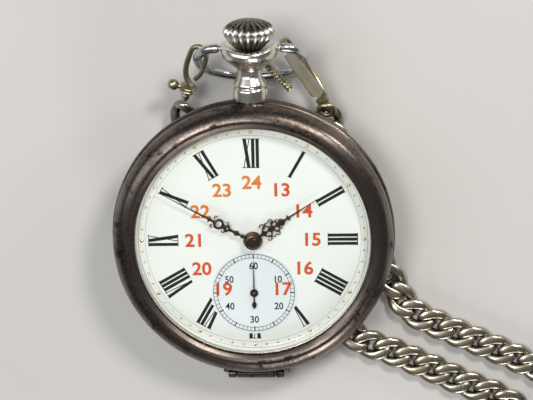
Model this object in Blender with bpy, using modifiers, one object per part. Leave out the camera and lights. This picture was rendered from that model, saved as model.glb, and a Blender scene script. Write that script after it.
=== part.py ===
"""Open-face pocket watch with its movement, folded bow, two swivel clasps and a curb chain.

The watch is drawn in its own frame, in millimetres: X towards 3 o'clock, Y towards 12 o'clock and
Z out of the dial, with the origin on the case axis. One empty then tilts it, because the watch lies
on its back with the bow folded behind it as a foot. World units are metres, +Z up, table at z = 0.
"""

import math

import bmesh
import bpy
from mathutils import Matrix, Vector

MM = 0.001

# Case
CASE_R = 26.0
ROUND_STEPS = 36
MIDDLE_TOP = 1.0
MIDDLE_BOTTOM = -1.5
MIDDLE_BORE_R = 22.0
BACK_FLAT_R = 10.0
BACK_RIM_R = 25.7
BACK_RIM_Z = -1.54
BACK_Z = -6.5
BACK_WALL = 0.5
INNER_COVER_FLAT_R = 9.0
INNER_COVER_RIM_R = 24.35
INNER_COVER_RIM_Z = -1.75
INNER_COVER_Z = -5.5
INNER_COVER_WALL = 0.3
HINGE_Y = -26.5
HINGE_R = 0.8
HINGE_PIN_R = 0.32
HINGE_BORE_R = 0.4
BEZEL_HINGE_Z = 1.1
BACK_HINGE_Z = -1.65

# Pendant, crown and bow
STEM_Z = -0.4
PIVOT_Y = 35.2
BOW_TUBE_R = 0.85
BOW_REACH = 15.2
BOW_HALF_WIDTH = 9.65
BOW_FOLD_DEG = 123.0
CROWN_R = 4.75
CROWN_FLUTES = 20

# Movement
PLATE_R = 21.85
PLATE_TOP = 1.3
PLATE_BOTTOM = -0.2
DIAL_R = 21.9
DIAL_BOTTOM = 1.33
DIAL_TOP = 2.3
BRIDGE_R = 19.2
BRIDGE_TOP = -2.4
BRIDGE_BOTTOM = -3.4
SECONDS_Y = -10.2
THIRD_AT = (3.99, -5.56)
FOURTH_AT = (0.0, SECONDS_Y)
ESCAPE_AT = (-4.96, -12.0)
PALLET_AT = (-7.82, -10.35)
BALANCE_AT = (-11.0, -4.2)
BARREL_AT = (5.79, 6.89)
CROWN_WHEEL_AT = (0.0, 15.2)
MINUTE_WHEEL_AT = (-4.5, 2.6)
MINUTE_WHEEL_PHASE = math.degrees(math.atan2(MINUTE_WHEEL_AT[1], MINUTE_WHEEL_AT[0]))
PINION_LEAVES = 6
BARREL_TEETH = 48
CENTRE_TEETH = 48
THIRD_TEETH = 45
FOURTH_TEETH = 48
RATCHET_TEETH = 30
CROWN_TEETH = 18

# Hands at rest show ten minutes to two
HOUR_HAND_DEG = 56.5
MINUTE_HAND_DEG = 299.0
HOUR_HAND_L = 14.5
MINUTE_HAND_L = 19.7
SECONDS_HAND_L = 6.3

# Middle of the left clasp's swivel collar
LEFT_SWIVEL = Vector((-11.75, 26.2, -6.7))

# Chain on the table, in the watch's directions, measured from the case centre
CHAIN_R = 1.1
CHAIN_Z = 1.12

# The case centre sits here in the world, so that the origin is under the middle of the watch
CENTRE_Y = -7.01


# ---------------------------------------------------------------- scene, materials and frames


def clear_scene():
    for obj in list(bpy.data.objects):
        bpy.data.objects.remove(obj)
    for collection in list(bpy.data.collections):
        bpy.data.collections.remove(collection)


def new_collection(name):
    collection = bpy.data.collections.new(name)
    bpy.context.scene.collection.children.link(collection)
    return collection


def material(name, colour, roughness, metallic):
    made = bpy.data.materials.new(name)
    made.use_nodes = True
    shader = made.node_tree.nodes["Principled BSDF"]
    shader.inputs["Base Color"].default_value = (*colour, 1.0)
    shader.inputs["Roughness"].default_value = roughness
    shader.inputs["Metallic"].default_value = metallic
    return made


def make_materials():
    return {
        "tarnished_silver": material("tarnished_silver", (0.25, 0.21, 0.19), 0.35, 1.0),
        "pendant_silver": material("pendant_silver", (0.75, 0.68, 0.62), 0.25, 1.0),
        "bright_silver": material("bright_silver", (0.78, 0.8, 0.82), 0.2, 1.0),
        "nickel": material("nickel", (0.48, 0.45, 0.36), 0.35, 1.0),
        "glass": material("glass", (0.95, 0.97, 0.97), 0.03, 0.0),
        "enamel": material("enamel", (0.9, 0.92, 0.88), 0.15, 0.0),
        "rose_bronze": material("rose_bronze", (0.33, 0.19, 0.13), 0.4, 1.0),
        "gilt": material("gilt", (0.83, 0.62, 0.3), 0.35, 1.0),
        "brass": material("brass", (0.78, 0.6, 0.32), 0.3, 1.0),
        "steel": material("steel", (0.6, 0.61, 0.63), 0.25, 1.0),
        "blued_steel": material("blued_steel", (0.06, 0.09, 0.28), 0.25, 1.0),
    }


def dome(flat_r, rim_r, rim_z, depth_z, fractions):
    """Points (r, z) from the flat centre out to the rim of a rounded back."""
    span = rim_r - flat_r
    drop = rim_z - depth_z
    points = []
    for t in fractions:
        points.append((flat_r + span * t, rim_z - drop * (1.0 - t**2.3) ** 0.69))
    return points


DOME_STEPS = (0.0, 0.36, 0.64, 0.84, 0.95, 1.0)


def back_outline():
    return dome(BACK_FLAT_R, BACK_RIM_R, BACK_RIM_Z, BACK_Z, DOME_STEPS)


def bow_foot():
    """(y, z) of the middle of the bow's far arc when it is folded back."""
    fold = math.radians(BOW_FOLD_DEG)
    return PIVOT_Y + BOW_REACH * math.cos(fold), STEM_Z - BOW_REACH * math.sin(fold)


def resting_tilt():
    """Tilt, in radians, at which the rounded back and the bow's arc touch the table together."""
    foot_y, foot_z = bow_foot()
    low, high = 0.0, math.radians(30)
    for _ in range(40):
        tilt = (low + high) / 2
        back = lowest_of_back(tilt)
        foot = foot_y * math.sin(tilt) + foot_z * math.cos(tilt) - BOW_TUBE_R
        if foot < back:
            low = tilt
        else:
            high = tilt
    return tilt


def lowest_of_back(tilt):
    return min(z * math.cos(tilt) - r * math.sin(tilt) for r, z in back_outline())


def watch_frame():
    """The empty that carries the watch: tilted, and lifted until its lowest point meets the table."""
    tilt = resting_tilt()
    empty = bpy.data.objects.new("watch_frame", None)
    empty.rotation_euler = (tilt, 0.0, 0.0)
    empty.location = (0.0, CENTRE_Y * MM, -lowest_of_back(tilt) * MM)
    bpy.context.scene.collection.objects.link(empty)
    return empty


def axis_empty(name, parent, at, rotation=(0.0, 0.0, 0.0)):
    empty = bpy.data.objects.new(name, None)
    empty.parent = parent
    empty.location = [value * MM for value in at]
    empty.rotation_euler = rotation
    bpy.context.scene.collection.objects.link(empty)
    return empty


# ---------------------------------------------------------------- modelling helpers


class Shop:
    """Where new objects go, and what they are made of."""

    parts = None
    cutters = None
    frame = None
    materials = {}


def finish_object(obj, surface, parent=None, smooth=True):
    Shop.parts.objects.link(obj)
    obj.parent = parent or Shop.frame
    obj.data.materials.append(Shop.materials[surface])
    if smooth and obj.type == "MESH":
        obj.data.shade_smooth()
    return obj


def move_to(obj, at=(0.0, 0.0, 0.0), rotation=(0.0, 0.0, 0.0)):
    obj.location = [value * MM for value in at]
    obj.rotation_euler = rotation
    return obj


def profile_mesh(name, points, closed):
    """A polyline in the XZ plane, in millimetres, for a Screw modifier."""
    mesh = bpy.data.meshes.new(name)
    corners = [(r * MM, 0.0, z * MM) for r, z in points]
    edges = [(i, i + 1) for i in range(len(points) - 1)]
    if closed:
        edges.append((len(points) - 1, 0))
    mesh.from_pydata(corners, edges, [])
    return mesh


def turned(name, points, surface, closed=True, steps=ROUND_STEPS, parent=None):
    """A turned solid about Z. The profile runs down its outer side."""
    obj = bpy.data.objects.new(name, profile_mesh(name, points, closed))
    finish_object(obj, surface, parent, smooth=False)
    add_screw(obj, steps)
    return obj


def add_screw(obj, steps):
    screw = obj.modifiers.new("turn", "SCREW")
    screw.axis = "Z"
    screw.steps = steps
    screw.render_steps = steps
    screw.use_merge_vertices = True
    screw.merge_threshold = 0.00001
    screw.use_smooth_shade = True


def cutter_from(name, mesh, at=(0, 0, 0), rotation=(0, 0, 0)):
    obj = bpy.data.objects.new(name, mesh)
    Shop.cutters.objects.link(obj)
    obj.parent = Shop.frame
    obj.hide_render = True
    obj.display_type = "WIRE"
    return move_to(obj, at, rotation)


def cylinder_mesh(name, radius, length, sides=20):
    mesh = bpy.data.meshes.new(name)
    work = bmesh.new()
    bmesh.ops.create_cone(
        work,
        cap_ends=True,
        segments=sides,
        radius1=radius * MM,
        radius2=radius * MM,
        depth=length * MM,
    )
    work.to_mesh(mesh)
    work.free()
    return mesh


def box_mesh(name, size):
    mesh = bpy.data.meshes.new(name)
    work = bmesh.new()
    bmesh.ops.create_cube(work, size=1.0)
    bmesh.ops.scale(work, verts=work.verts, vec=[value * MM for value in size])
    work.to_mesh(mesh)
    work.free()
    return mesh


def combine(obj, other, operation):
    modifier = obj.modifiers.new(f"{operation.lower()}_{other.name}", "BOOLEAN")
    modifier.operation = operation
    modifier.object = other
    modifier.solver = "EXACT"
    return obj


def cut(obj, mesh, at=(0, 0, 0), rotation=(0, 0, 0)):
    return combine(obj, cutter_from(mesh.name, mesh, at, rotation), "DIFFERENCE")


def join(obj, mesh, at=(0, 0, 0), rotation=(0, 0, 0)):
    return combine(obj, cutter_from(mesh.name, mesh, at, rotation), "UNION")


def cut_hole(obj, at, radius, depth=12.0, sides=20):
    """A round hole, its facets turned off the axes so that none meets a turned part's seam."""
    return cut(obj, cylinder_mesh(f"{obj.name}_hole", radius, depth, sides), at, (0, 0, 0.11))


def outline_points(spline, points):
    spline.points.add(len(points) - 1)
    for target, (x, y) in zip(spline.points, points, strict=True):
        target.co = (x * MM, y * MM, 0.0, 1.0)
    spline.use_cyclic_u = True


def flat_part(name, outlines, thickness, surface, parent=None):
    """A flat plate from closed outlines in millimetres. Outlines inside the first one are holes."""
    curve = bpy.data.curves.new(name, "CURVE")
    curve.dimensions = "2D"
    curve.fill_mode = "BOTH"
    curve.extrude = thickness / 2 * MM
    for points in outlines:
        outline_points(curve.splines.new("POLY"), points)
    obj = bpy.data.objects.new(name, curve)
    return finish_object(obj, surface, parent)


def flat_mesh(name, outlines, thickness, surface, parent=None):
    """The same plate as a mesh, so that Booleans can work on it."""
    obj = flat_part(name + "_outline", outlines, thickness, surface, parent)
    bpy.context.view_layer.update()
    graph = bpy.context.evaluated_depsgraph_get()
    mesh = bpy.data.meshes.new_from_object(obj.evaluated_get(graph))
    mesh.name = name
    curve = obj.data
    bpy.data.objects.remove(obj)
    bpy.data.curves.remove(curve)
    work = bmesh.new()
    work.from_mesh(mesh)
    bmesh.ops.remove_doubles(work, verts=work.verts, dist=1e-7)
    bmesh.ops.recalc_face_normals(work, faces=work.faces)
    work.to_mesh(mesh)
    work.free()
    mesh.materials.clear()
    made = bpy.data.objects.new(name, mesh)
    return finish_object(made, surface, parent, smooth=False)


def arc(radius, start_deg, end_deg, steps, centre=(0.0, 0.0)):
    points = []
    for i in range(steps + 1):
        angle = math.radians(start_deg + (end_deg - start_deg) * i / steps)
        x = centre[0] + radius * math.cos(angle)
        y = centre[1] + radius * math.sin(angle)
        points.append((x, y))
    return points


def circle(radius, steps=24, centre=(0.0, 0.0)):
    return arc(radius, 0.0, 360.0, steps, centre)[:-1]


def gear_outline(teeth, pitch_r, module, phase=0.0):
    """V-shaped teeth: half of a tooth pitch is the flank, and the flanks leave backlash in mesh."""
    tip = pitch_r + 0.6 * module
    root = pitch_r - 0.95 * module
    points = []
    for i in range(2 * teeth):
        angle = math.pi * i / teeth + math.radians(phase)
        radius = tip if i % 2 == 0 else root
        points.append((radius * math.cos(angle), radius * math.sin(angle)))
    return points


def spoke_windows(inner_r, outer_r, spokes, spoke_w):
    """Outlines of the openings between a wheel's spokes."""
    windows = []
    for i in range(spokes):
        a = 360.0 * i / spokes
        b = 360.0 * (i + 1) / spokes
        lean_in = math.degrees(math.asin(spoke_w / 2 / inner_r))
        lean_out = math.degrees(math.asin(spoke_w / 2 / outer_r))
        outer = arc(outer_r, a + lean_out, b - lean_out, 4)
        inner = arc(inner_r, b - lean_in, a + lean_in, 2)
        windows.append(outer + inner)
    return windows


def stacked(name, sections, leaves, surface, parent=None):
    """A shaft about Z made of rings (z, tip radius, root radius), top to bottom, capped at both ends."""
    count = 2 * leaves
    work = bmesh.new()
    rings = []
    for z, tip, root in sections:
        ring = []
        for i in range(count):
            angle = math.pi * i / leaves
            radius = tip if i % 2 == 0 else root
            x = radius * math.cos(angle)
            y = radius * math.sin(angle)
            ring.append(work.verts.new((x * MM, y * MM, z * MM)))
        rings.append(ring)
    for upper, lower in zip(rings, rings[1:]):
        for i in range(count):
            j = (i + 1) % count
            work.faces.new((upper[j], upper[i], lower[i], lower[j]))
    work.faces.new(rings[0])
    work.faces.new(list(reversed(rings[-1])))
    mesh = bpy.data.meshes.new(name)
    bmesh.ops.recalc_face_normals(work, faces=work.faces)
    work.to_mesh(mesh)
    work.free()
    obj = bpy.data.objects.new(name, mesh)
    return finish_object(obj, surface, parent, smooth=False)


def smooth_route(points, per_span):
    """Catmull-Rom points through a hand-chosen route."""
    route = [Vector(point) for point in points]
    ends = [2 * route[0] - route[1], *route, 2 * route[-1] - route[-2]]
    made = []
    for i in range(len(route) - 1):
        a, b, c, d = ends[i : i + 4]
        for step in range(per_span):
            t = step / per_span
            made.append(
                0.5
                * (
                    2 * b
                    + (c - a) * t
                    + (2 * a - 5 * b + 4 * c - d) * t * t
                    + (3 * b - a - 3 * c + d) * t**3
                )
            )
    made.append(route[-1])
    return made


def wire(name, points, radius, surface, parent=None, taper=None):
    """A round wire through points in millimetres, as one POLY spline with filled caps."""
    curve = bpy.data.curves.new(name, "CURVE")
    curve.dimensions = "3D"
    curve.bevel_depth = radius * MM
    curve.bevel_resolution = 2
    curve.use_fill_caps = True
    spline = curve.splines.new("POLY")
    spline.points.add(len(points) - 1)
    for i, point in enumerate(points):
        spline.points[i].co = (*[value * MM for value in point], 1.0)
        if taper:
            spline.points[i].radius = taper[i]
    obj = bpy.data.objects.new(name, curve)
    return finish_object(obj, surface, parent)


def strap(name, points, widths, thickness, across, surface, parent=None):
    """A flat bar swept along points, its width along the unit vector across."""
    route = [Vector(point) for point in points]
    side = Vector(across).normalized()
    work = bmesh.new()
    rings = []
    for i, point in enumerate(route):
        before = route[max(i - 1, 0)]
        after = route[min(i + 1, len(route) - 1)]
        normal = (after - before).cross(side).normalized()
        half = widths[i] / 2
        ring = []
        for w, h in ((-half, -0.5), (half, -0.5), (half, 0.5), (-half, 0.5)):
            corner = point + side * w + normal * (h * thickness)
            ring.append(work.verts.new(corner * MM))
        rings.append(ring)
    for first, second in zip(rings, rings[1:]):
        for i in range(4):
            j = (i + 1) % 4
            work.faces.new((first[i], first[j], second[j], second[i]))
    work.faces.new(list(reversed(rings[0])))
    work.faces.new(rings[-1])
    bmesh.ops.recalc_face_normals(work, faces=work.faces)
    mesh = bpy.data.meshes.new(name)
    work.to_mesh(mesh)
    work.free()
    obj = bpy.data.objects.new(name, mesh)
    return finish_object(obj, surface, parent, smooth=False)


def hang_on(obj, hinge, hinge_z):
    """Parents a case lid to its hinge's empty, with its own origin kept on the case axis."""
    obj.parent = hinge
    return move_to(obj, (0, -HINGE_Y, -hinge_z))


# ---------------------------------------------------------------- case


def along_x(obj_mesh_name, radius, length, sides=12):
    mesh = cylinder_mesh(obj_mesh_name, radius, length, sides)
    mesh.transform(Matrix.Rotation(math.pi / 2, 4, "Y"))
    return mesh


def add_knuckle(obj, centre_x, length, hinge_z, block_z, block_reach=1.6):
    """Joins a hinge knuckle and its root to obj, whose own axes are the watch's."""
    root = box_mesh(f"{obj.name}_knuckle_root", (length, block_reach, 0.75))
    join(obj, root, (centre_x, HINGE_Y + block_reach / 2, block_z))
    tube = along_x(f"{obj.name}_knuckle", HINGE_R, length)
    join(obj, tube, (centre_x, HINGE_Y, hinge_z))


def bore_hinge(obj, hinge_z):
    cut(obj, along_x(f"{obj.name}_hinge_bore", HINGE_BORE_R, 30.0), (0, HINGE_Y, hinge_z))


def make_case_middle():
    profile = [
        (25.1, MIDDLE_TOP),
        (25.85, 0.45),
        (CASE_R, -0.25),
        (25.85, -0.95),
        (25.1, MIDDLE_BOTTOM),
        (24.5, MIDDLE_BOTTOM),
        (MIDDLE_BORE_R, -0.9),
        (MIDDLE_BORE_R, MIDDLE_TOP),
    ]
    middle = turned("case_middle", profile, "tarnished_silver")
    foot = box_mesh("pendant_foot", (6.0, 2.6, 1.9))
    join(middle, foot, (0, 25.3, -0.25))
    join(middle, pendant_mesh(), (0, 0, STEM_Z), (-math.pi / 2, 0, 0))
    for side in (-1, 1):
        add_knuckle(middle, side * 5.4, 1.6, BACK_HINGE_Z, -1.1)
        add_knuckle(middle, side * 4.4, 1.6, BEZEL_HINGE_Z, 0.6)
    bore_hinge(middle, BACK_HINGE_Z)
    bore_hinge(middle, BEZEL_HINGE_Z)
    stem_bore = cylinder_mesh("stem_bore", 1.0, 20.0, 14)
    cut(middle, stem_bore, (0, 28.0, STEM_Z), (math.pi / 2, 0, 0))
    for side in (-1, 1):
        cut(middle, along_x("bow_socket", 0.62, 1.9), (side * 5.15, PIVOT_Y, STEM_Z))
    return middle


def pendant_mesh():
    """Collar, bell neck and open cup, turned about the stem's axis. Its Z is the watch's Y."""
    profile = [
        (4.6, 36.5),
        (5.2, 36.1),
        (5.3, 35.1),
        (4.9, 33.7),
        (3.3, 32.3),
        (2.3, 31.5),
        (2.2, 30.2),
        (3.05, 28.6),
        (2.8, 28.2),
        (3.1, 27.8),
        (3.1, 25.95),
        (0.6, 25.95),
        (0.6, 34.7),
        (2.6, 34.8),
        (4.0, 35.9),
    ]
    obj = bpy.data.objects.new("pendant_profile", profile_mesh("pendant", profile, True))
    Shop.cutters.objects.link(obj)
    add_screw(obj, 24)
    bpy.context.view_layer.update()
    graph = bpy.context.evaluated_depsgraph_get()
    mesh = bpy.data.meshes.new_from_object(obj.evaluated_get(graph))
    bpy.data.objects.remove(obj)
    mesh.name = "pendant"
    return mesh


def make_bezel(hinge):
    profile = [
        (22.2, 5.3),
        (23.2, 5.45),
        (24.3, 4.95),
        (25.15, 3.9),
        (25.65, 2.4),
        (25.5, 1.05),
        (22.7, 1.05),
        (22.7, 3.2),
        (21.7, 3.5),
        (21.7, 3.98),
        (22.2, 4.02),
        (22.2, 4.62),
        (21.5, 4.7),
    ]
    bezel = turned("bezel", profile, "tarnished_silver")
    add_knuckle(bezel, 0.0, 7.0, BEZEL_HINGE_Z, 1.55, 1.4)
    bore_hinge(bezel, BEZEL_HINGE_Z)
    return hang_on(bezel, hinge, BEZEL_HINGE_Z)


def make_crystal(hinge):
    profile = [
        (0.0, 6.05),
        (12.0, 5.65),
        (19.5, 4.85),
        (22.0, 4.5),
        (22.0, 4.12),
        (19.5, 4.35),
        (12.0, 5.05),
        (0.0, 5.45),
    ]
    crystal = turned("crystal", profile, "glass", closed=False)
    return hang_on(crystal, hinge, BEZEL_HINGE_Z)


def cover_profile(flat_r, rim_r, rim_z, depth_z, wall):
    outer = dome(flat_r, rim_r, rim_z, depth_z, DOME_STEPS)
    inner = dome(flat_r, rim_r - wall, rim_z, depth_z + wall, DOME_STEPS)
    return [(0.0, depth_z + wall), *inner, *reversed(outer), (0.0, depth_z)]


def make_back_cover(hinge):
    profile = cover_profile(BACK_FLAT_R, BACK_RIM_R, BACK_RIM_Z, BACK_Z, BACK_WALL)
    back = turned("back_cover", profile, "tarnished_silver", closed=False)
    notch = box_mesh("inner_cover_notch", (4.4, 3.0, 1.4))
    for side in (-1, 1):
        add_knuckle(back, side * 3.4, 2.0, BACK_HINGE_Z, -2.1)
    cut(back, notch, (0, -25.6, -1.9))
    bore_hinge(back, BACK_HINGE_Z)
    return hang_on(back, hinge, BACK_HINGE_Z)


def make_inner_cover(hinge):
    profile = cover_profile(
        INNER_COVER_FLAT_R,
        INNER_COVER_RIM_R,
        INNER_COVER_RIM_Z,
        INNER_COVER_Z,
        INNER_COVER_WALL,
    )
    cover = turned("inner_cover", profile, "pendant_silver", closed=False)
    arm = box_mesh("inner_cover_arm", (3.8, 2.9, 0.45))
    join(cover, arm, (0, -25.2, -2.02))
    join(cover, along_x("inner_cover_knuckle", 0.7, 3.8), (0, HINGE_Y, BACK_HINGE_Z))
    bore_hinge(cover, BACK_HINGE_Z)
    return hang_on(cover, hinge, BACK_HINGE_Z)


def make_hinge_pins():
    for name, z, length in (
        ("bezel_hinge_pin", BEZEL_HINGE_Z, 10.2),
        ("back_hinge_pin", BACK_HINGE_Z, 12.2),
    ):
        pin = bpy.data.objects.new(name, along_x(name, HINGE_PIN_R, length, 10))
        finish_object(pin, "nickel")
        move_to(pin, (0, HINGE_Y, z))


# ---------------------------------------------------------------- bow, crown and stem


def bow_route():
    """Half of the bow's centreline, in its own frame, from the pin to the far arc."""
    return [
        (4.45, 0.0, 0.0),
        (5.45, 0.0, 0.0),
        (6.9, 0.2, 0.0),
        (8.5, 1.5, 0.0),
        (BOW_HALF_WIDTH, 4.8, 0.0),
        (9.35, 8.6, 0.0),
        (7.5, 12.1, 0.0),
        (4.3, 14.4, 0.0),
        (0.0, BOW_REACH, 0.0),
    ]


def make_bow(bow_axis):
    half = bow_route()
    whole = half + [(-x, y, z) for x, y, z in reversed(half[:-1])]
    points = smooth_route(whole, 2)
    taper = []
    for point in points:
        inside = abs(point.x) < 5.5 and point.y < 1.0
        taper.append(0.6 if inside else 1.0)
    return wire("bow", points, BOW_TUBE_R, "bright_silver", bow_axis, taper)


def make_crown(crown_axis):
    """Onion crown about its own Z, which is the watch's Y."""
    sections = [
        (40.6, 1.0, 0.95),
        (40.3, 2.7, 2.55),
        (39.6, 4.0, 3.65),
        (38.5, 4.7, 4.15),
        (37.4, 4.65, 4.05),
        (36.6, 3.85, 3.4),
        (35.8, 1.9, 1.9),
    ]
    return stacked("crown", sections, CROWN_FLUTES, "bright_silver", crown_axis)


def make_stem(crown_axis):
    sections = [
        (35.7, 0.62, 0.62),
        (20.8, 0.62, 0.62),
        (20.8, 0.45, 0.45),
        (12.8, 0.45, 0.45),
    ]
    return stacked("winding_stem", sections, 6, "steel", crown_axis)


def make_pendant_sleeve(sleeve_axis):
    profile = [(0.92, 33.0), (0.92, 28.5), (0.7, 28.5), (0.7, 33.0)]
    return turned("pendant_sleeve", profile, "steel", steps=16, parent=sleeve_axis)


# ---------------------------------------------------------------- dial and hands


def make_dial():
    profile = [
        (DIAL_R - 0.3, DIAL_TOP),
        (DIAL_R, DIAL_TOP - 0.3),
        (DIAL_R, DIAL_BOTTOM),
        (1.25, DIAL_BOTTOM),
        (1.25, DIAL_TOP),
    ]
    dial = turned("dial", profile, "enamel")
    return cut_hole(dial, (0, SECONDS_Y, DIAL_TOP), 0.5)


def hand_outline(stations, boss_r):
    """Mirrors (distance, half width) stations about the hand's length, closed round its boss."""
    right = [(w, y) for y, w in stations]
    left = [(-w, y) for y, w in reversed(stations) if w > 0.001]
    start = math.degrees(math.asin(min(0.99, stations[0][1] / boss_r)))
    boss = arc(boss_r, 90.0 + start, 450.0 - start, 18)
    return right + left + boss[1:-1]


def make_hour_hand(axis):
    stations = [
        (1.6, 0.35),
        (2.5, 0.4),
        (3.2, 1.3),
        (4.3, 1.5),
        (5.2, 0.7),
        (5.9, 1.35),
        (7.1, 1.5),
        (8.0, 0.6),
        (9.0, 0.85),
        (10.0, 0.35),
        (HOUR_HAND_L, 0.0),
    ]
    outlines = [hand_outline(stations, 1.75), circle(1.13, 16)]
    hand = flat_part("hour_hand", outlines, 0.2, "rose_bronze", axis)
    return move_to(hand, (0, 0, 2.85))


def make_minute_hand(axis):
    stations = [
        (1.4, 0.32),
        (4.6, 0.3),
        (5.3, 0.95),
        (6.3, 1.05),
        (7.0, 0.4),
        (7.8, 0.9),
        (9.0, 0.3),
        (MINUTE_HAND_L, 0.0),
    ]
    outlines = [hand_outline(stations, 1.6), circle(0.82, 16)]
    hand = flat_part("minute_hand", outlines, 0.2, "rose_bronze", axis)
    return move_to(hand, (0, 0, 3.4))


def make_hand_boss(axis):
    profile = [(0.0, 4.25), (0.8, 4.1), (1.35, 3.8), (1.5, 3.56), (0.0, 3.56)]
    return turned("hand_boss", profile, "rose_bronze", closed=False, steps=20, parent=axis)


def make_seconds_hand(axis):
    up = [(0.6, 0.12), (SECONDS_HAND_L, 0.03)]
    right = [(w, y) for y, w in up]
    left = [(-w, y) for y, w in reversed(up)]
    tail = [(-0.1, -0.75), (-0.12, -1.7), (-0.42, -2.1), (0.0, -3.1), (0.42, -2.1)]
    tail += [(0.12, -1.7), (0.1, -0.75)]
    left_boss = arc(0.75, 100.0, 262.0, 8)
    right_boss = arc(0.75, -82.0, 80.0, 8)
    outline = right + left + left_boss + tail + right_boss
    hand = flat_part("seconds_hand", [outline, circle(0.25, 10)], 0.15, "rose_bronze", axis)
    return move_to(hand, (0, 0, 2.55))


def make_motion_work(hour_axis, minute_axis, wheel_axis):
    """Cannon pinion 8, minute wheel 24 with pinion 8, hour wheel 32: one turn in twelve."""
    cannon = stacked(
        "cannon_pinion",
        [(3.5, 0.76, 0.76), (0.9, 0.76, 0.76), (0.9, 1.49, 0.99), (0.52, 1.49, 0.99)],
        8,
        "steel",
        minute_axis,
    )
    cannon.rotation_euler.z = math.radians(MINUTE_WHEEL_PHASE + 22.5)
    bore = cylinder_mesh("cannon_bore", 0.36, 8.0, 10)
    cut(cannon, bore, (0, 0, 0.9))
    wheel_part = gear_outline(24, 3.9, 0.325, MINUTE_WHEEL_PHASE + 180.0)
    wheel = flat_part("minute_wheel", [wheel_part, circle(0.42, 12)], 0.2, "brass", wheel_axis)
    move_to(wheel, (0, 0, 0.65))
    pinion = stacked(
        "minute_pinion",
        [(1.28, 1.19, 0.79), (0.85, 1.19, 0.79), (0.85, 0.34, 0.34), (0.5, 0.34, 0.34)],
        8,
        "steel",
        wheel_axis,
    )
    pinion.rotation_euler.z = math.radians(MINUTE_WHEEL_PHASE)
    teeth = gear_outline(32, 4.16, 0.26, MINUTE_WHEEL_PHASE + 180.0 / 32)
    hour = flat_mesh("hour_wheel", [teeth, circle(0.88, 16)], 0.25, "brass", hour_axis)
    move_to(hour, (0, 0, 1.18))
    ring = [(1.08, 3.1), (1.08, 1.1), (0.88, 1.1), (0.88, 3.1)]
    pipe = screw_mesh("hour_pipe", ring, 16)
    combine(hour, local_cutter("hour_pipe", pipe, hour_axis), "UNION")
    return cannon, wheel, hour


def screw_mesh(name, points, steps):
    obj = bpy.data.objects.new(name, profile_mesh(name, points, True))
    Shop.cutters.objects.link(obj)
    add_screw(obj, steps)
    bpy.context.view_layer.update()
    graph = bpy.context.evaluated_depsgraph_get()
    mesh = bpy.data.meshes.new_from_object(obj.evaluated_get(graph))
    bpy.data.objects.remove(obj)
    return mesh


def local_cutter(name, mesh, parent):
    obj = cutter_from(name, mesh)
    obj.parent = parent
    return obj


# ---------------------------------------------------------------- plates and bridges


def make_main_plate():
    profile = [
        (PLATE_R, PLATE_TOP),
        (PLATE_R, PLATE_BOTTOM),
        (0.55, PLATE_BOTTOM),
        (0.55, PLATE_TOP),
    ]
    plate = turned("main_plate", profile, "gilt")
    cut(plate, cylinder_mesh("motion_pocket", 8.2, 1.8, 28), (-1.8, 1.0, 1.35))
    cut(plate, box_mesh("stem_slot", (5.4, 10.0, 4.0)), (0, 17.6, STEM_Z))
    cut(plate, box_mesh("stem_groove", (1.6, 8.0, 4.0)), (0, 10.8, STEM_Z))
    for x, y in (THIRD_AT, FOURTH_AT, ESCAPE_AT, PALLET_AT, BALANCE_AT):
        cut_hole(plate, (x, y, 0), 0.32, 6.0, 12)
    return plate


def make_barrel_bridge():
    centre = BARREL_AT
    outline = arc(BRIDGE_R, -8.0, 100.0, 16) + [(-3.6, 12.2), (-1.2, 5.6), (3.0, -1.4)]
    bridge = flat_mesh("barrel_bridge", [outline, circle(0.7, 14, centre)], 1.0, "gilt")
    move_to(bridge, (0, 0, (BRIDGE_TOP + BRIDGE_BOTTOM) / 2))
    add_pillars(bridge, ((14.6, 1.8), (14.9, 9.5)))
    cut(bridge, cylinder_mesh("ratchet_pocket", 7.0, 1.4, 28), (*centre, -3.2))
    cut(bridge, cylinder_mesh("crown_wheel_pocket", 4.4, 1.4, 24), (*CROWN_WHEEL_AT, -3.2))
    return bridge


def add_pillars(bridge, places):
    """Posts that hold a bridge off the main plate. The bridge's own origin is at mid-height."""
    for x, y in places:
        join(bridge, cylinder_mesh(f"{bridge.name}_pillar", 1.2, 2.3, 12), (x, y, -1.4))


def make_train_bridge():
    outline = [(-3.6, 3.0), (-2.6, -2.2), (-2.9, -8.0), (-8.1, -14.4)]
    outline += arc(BRIDGE_R, 236.0, 342.0, 16)
    outline += [(9.0, -4.6), (3.2, -2.4), (1.6, -0.6), (-0.4, 3.0)]
    bridge = flat_mesh("train_bridge", [outline], 1.0, "gilt")
    move_to(bridge, (0, 0, (BRIDGE_TOP + BRIDGE_BOTTOM) / 2))
    add_pillars(bridge, ((14.0, -10.8), (-4.4, -16.9)))
    for x, y in ((0, 0), THIRD_AT, FOURTH_AT, ESCAPE_AT):
        cut_hole(bridge, (x, y, -2.9), 0.32, 4.0, 12)
    return bridge


def make_balance_cock():
    foot = arc(BRIDGE_R, 146.0, 176.0, 5)
    outline = foot + [(-17.2, -2.0), (-12.6, -6.0), (-9.4, -5.6), (-8.9, -2.6), (-13.2, 3.2)]
    cock = flat_mesh("balance_cock", [outline], 0.9, "gilt")
    move_to(cock, (0, 0, -3.5))
    foot_block = flat_outline_mesh("cock_foot", foot + [(-15.9, 1.6), (-14.6, 6.2)], 2.9)
    join(cock, foot_block, (0, 0, -1.9))
    cut_hole(cock, (*BALANCE_AT, -3.5), 0.32, 4.0, 12)
    return cock


def flat_outline_mesh(name, outline, thickness):
    obj = flat_mesh(name, [outline], thickness, "gilt")
    mesh = obj.data
    bpy.data.objects.remove(obj)
    return mesh


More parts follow.
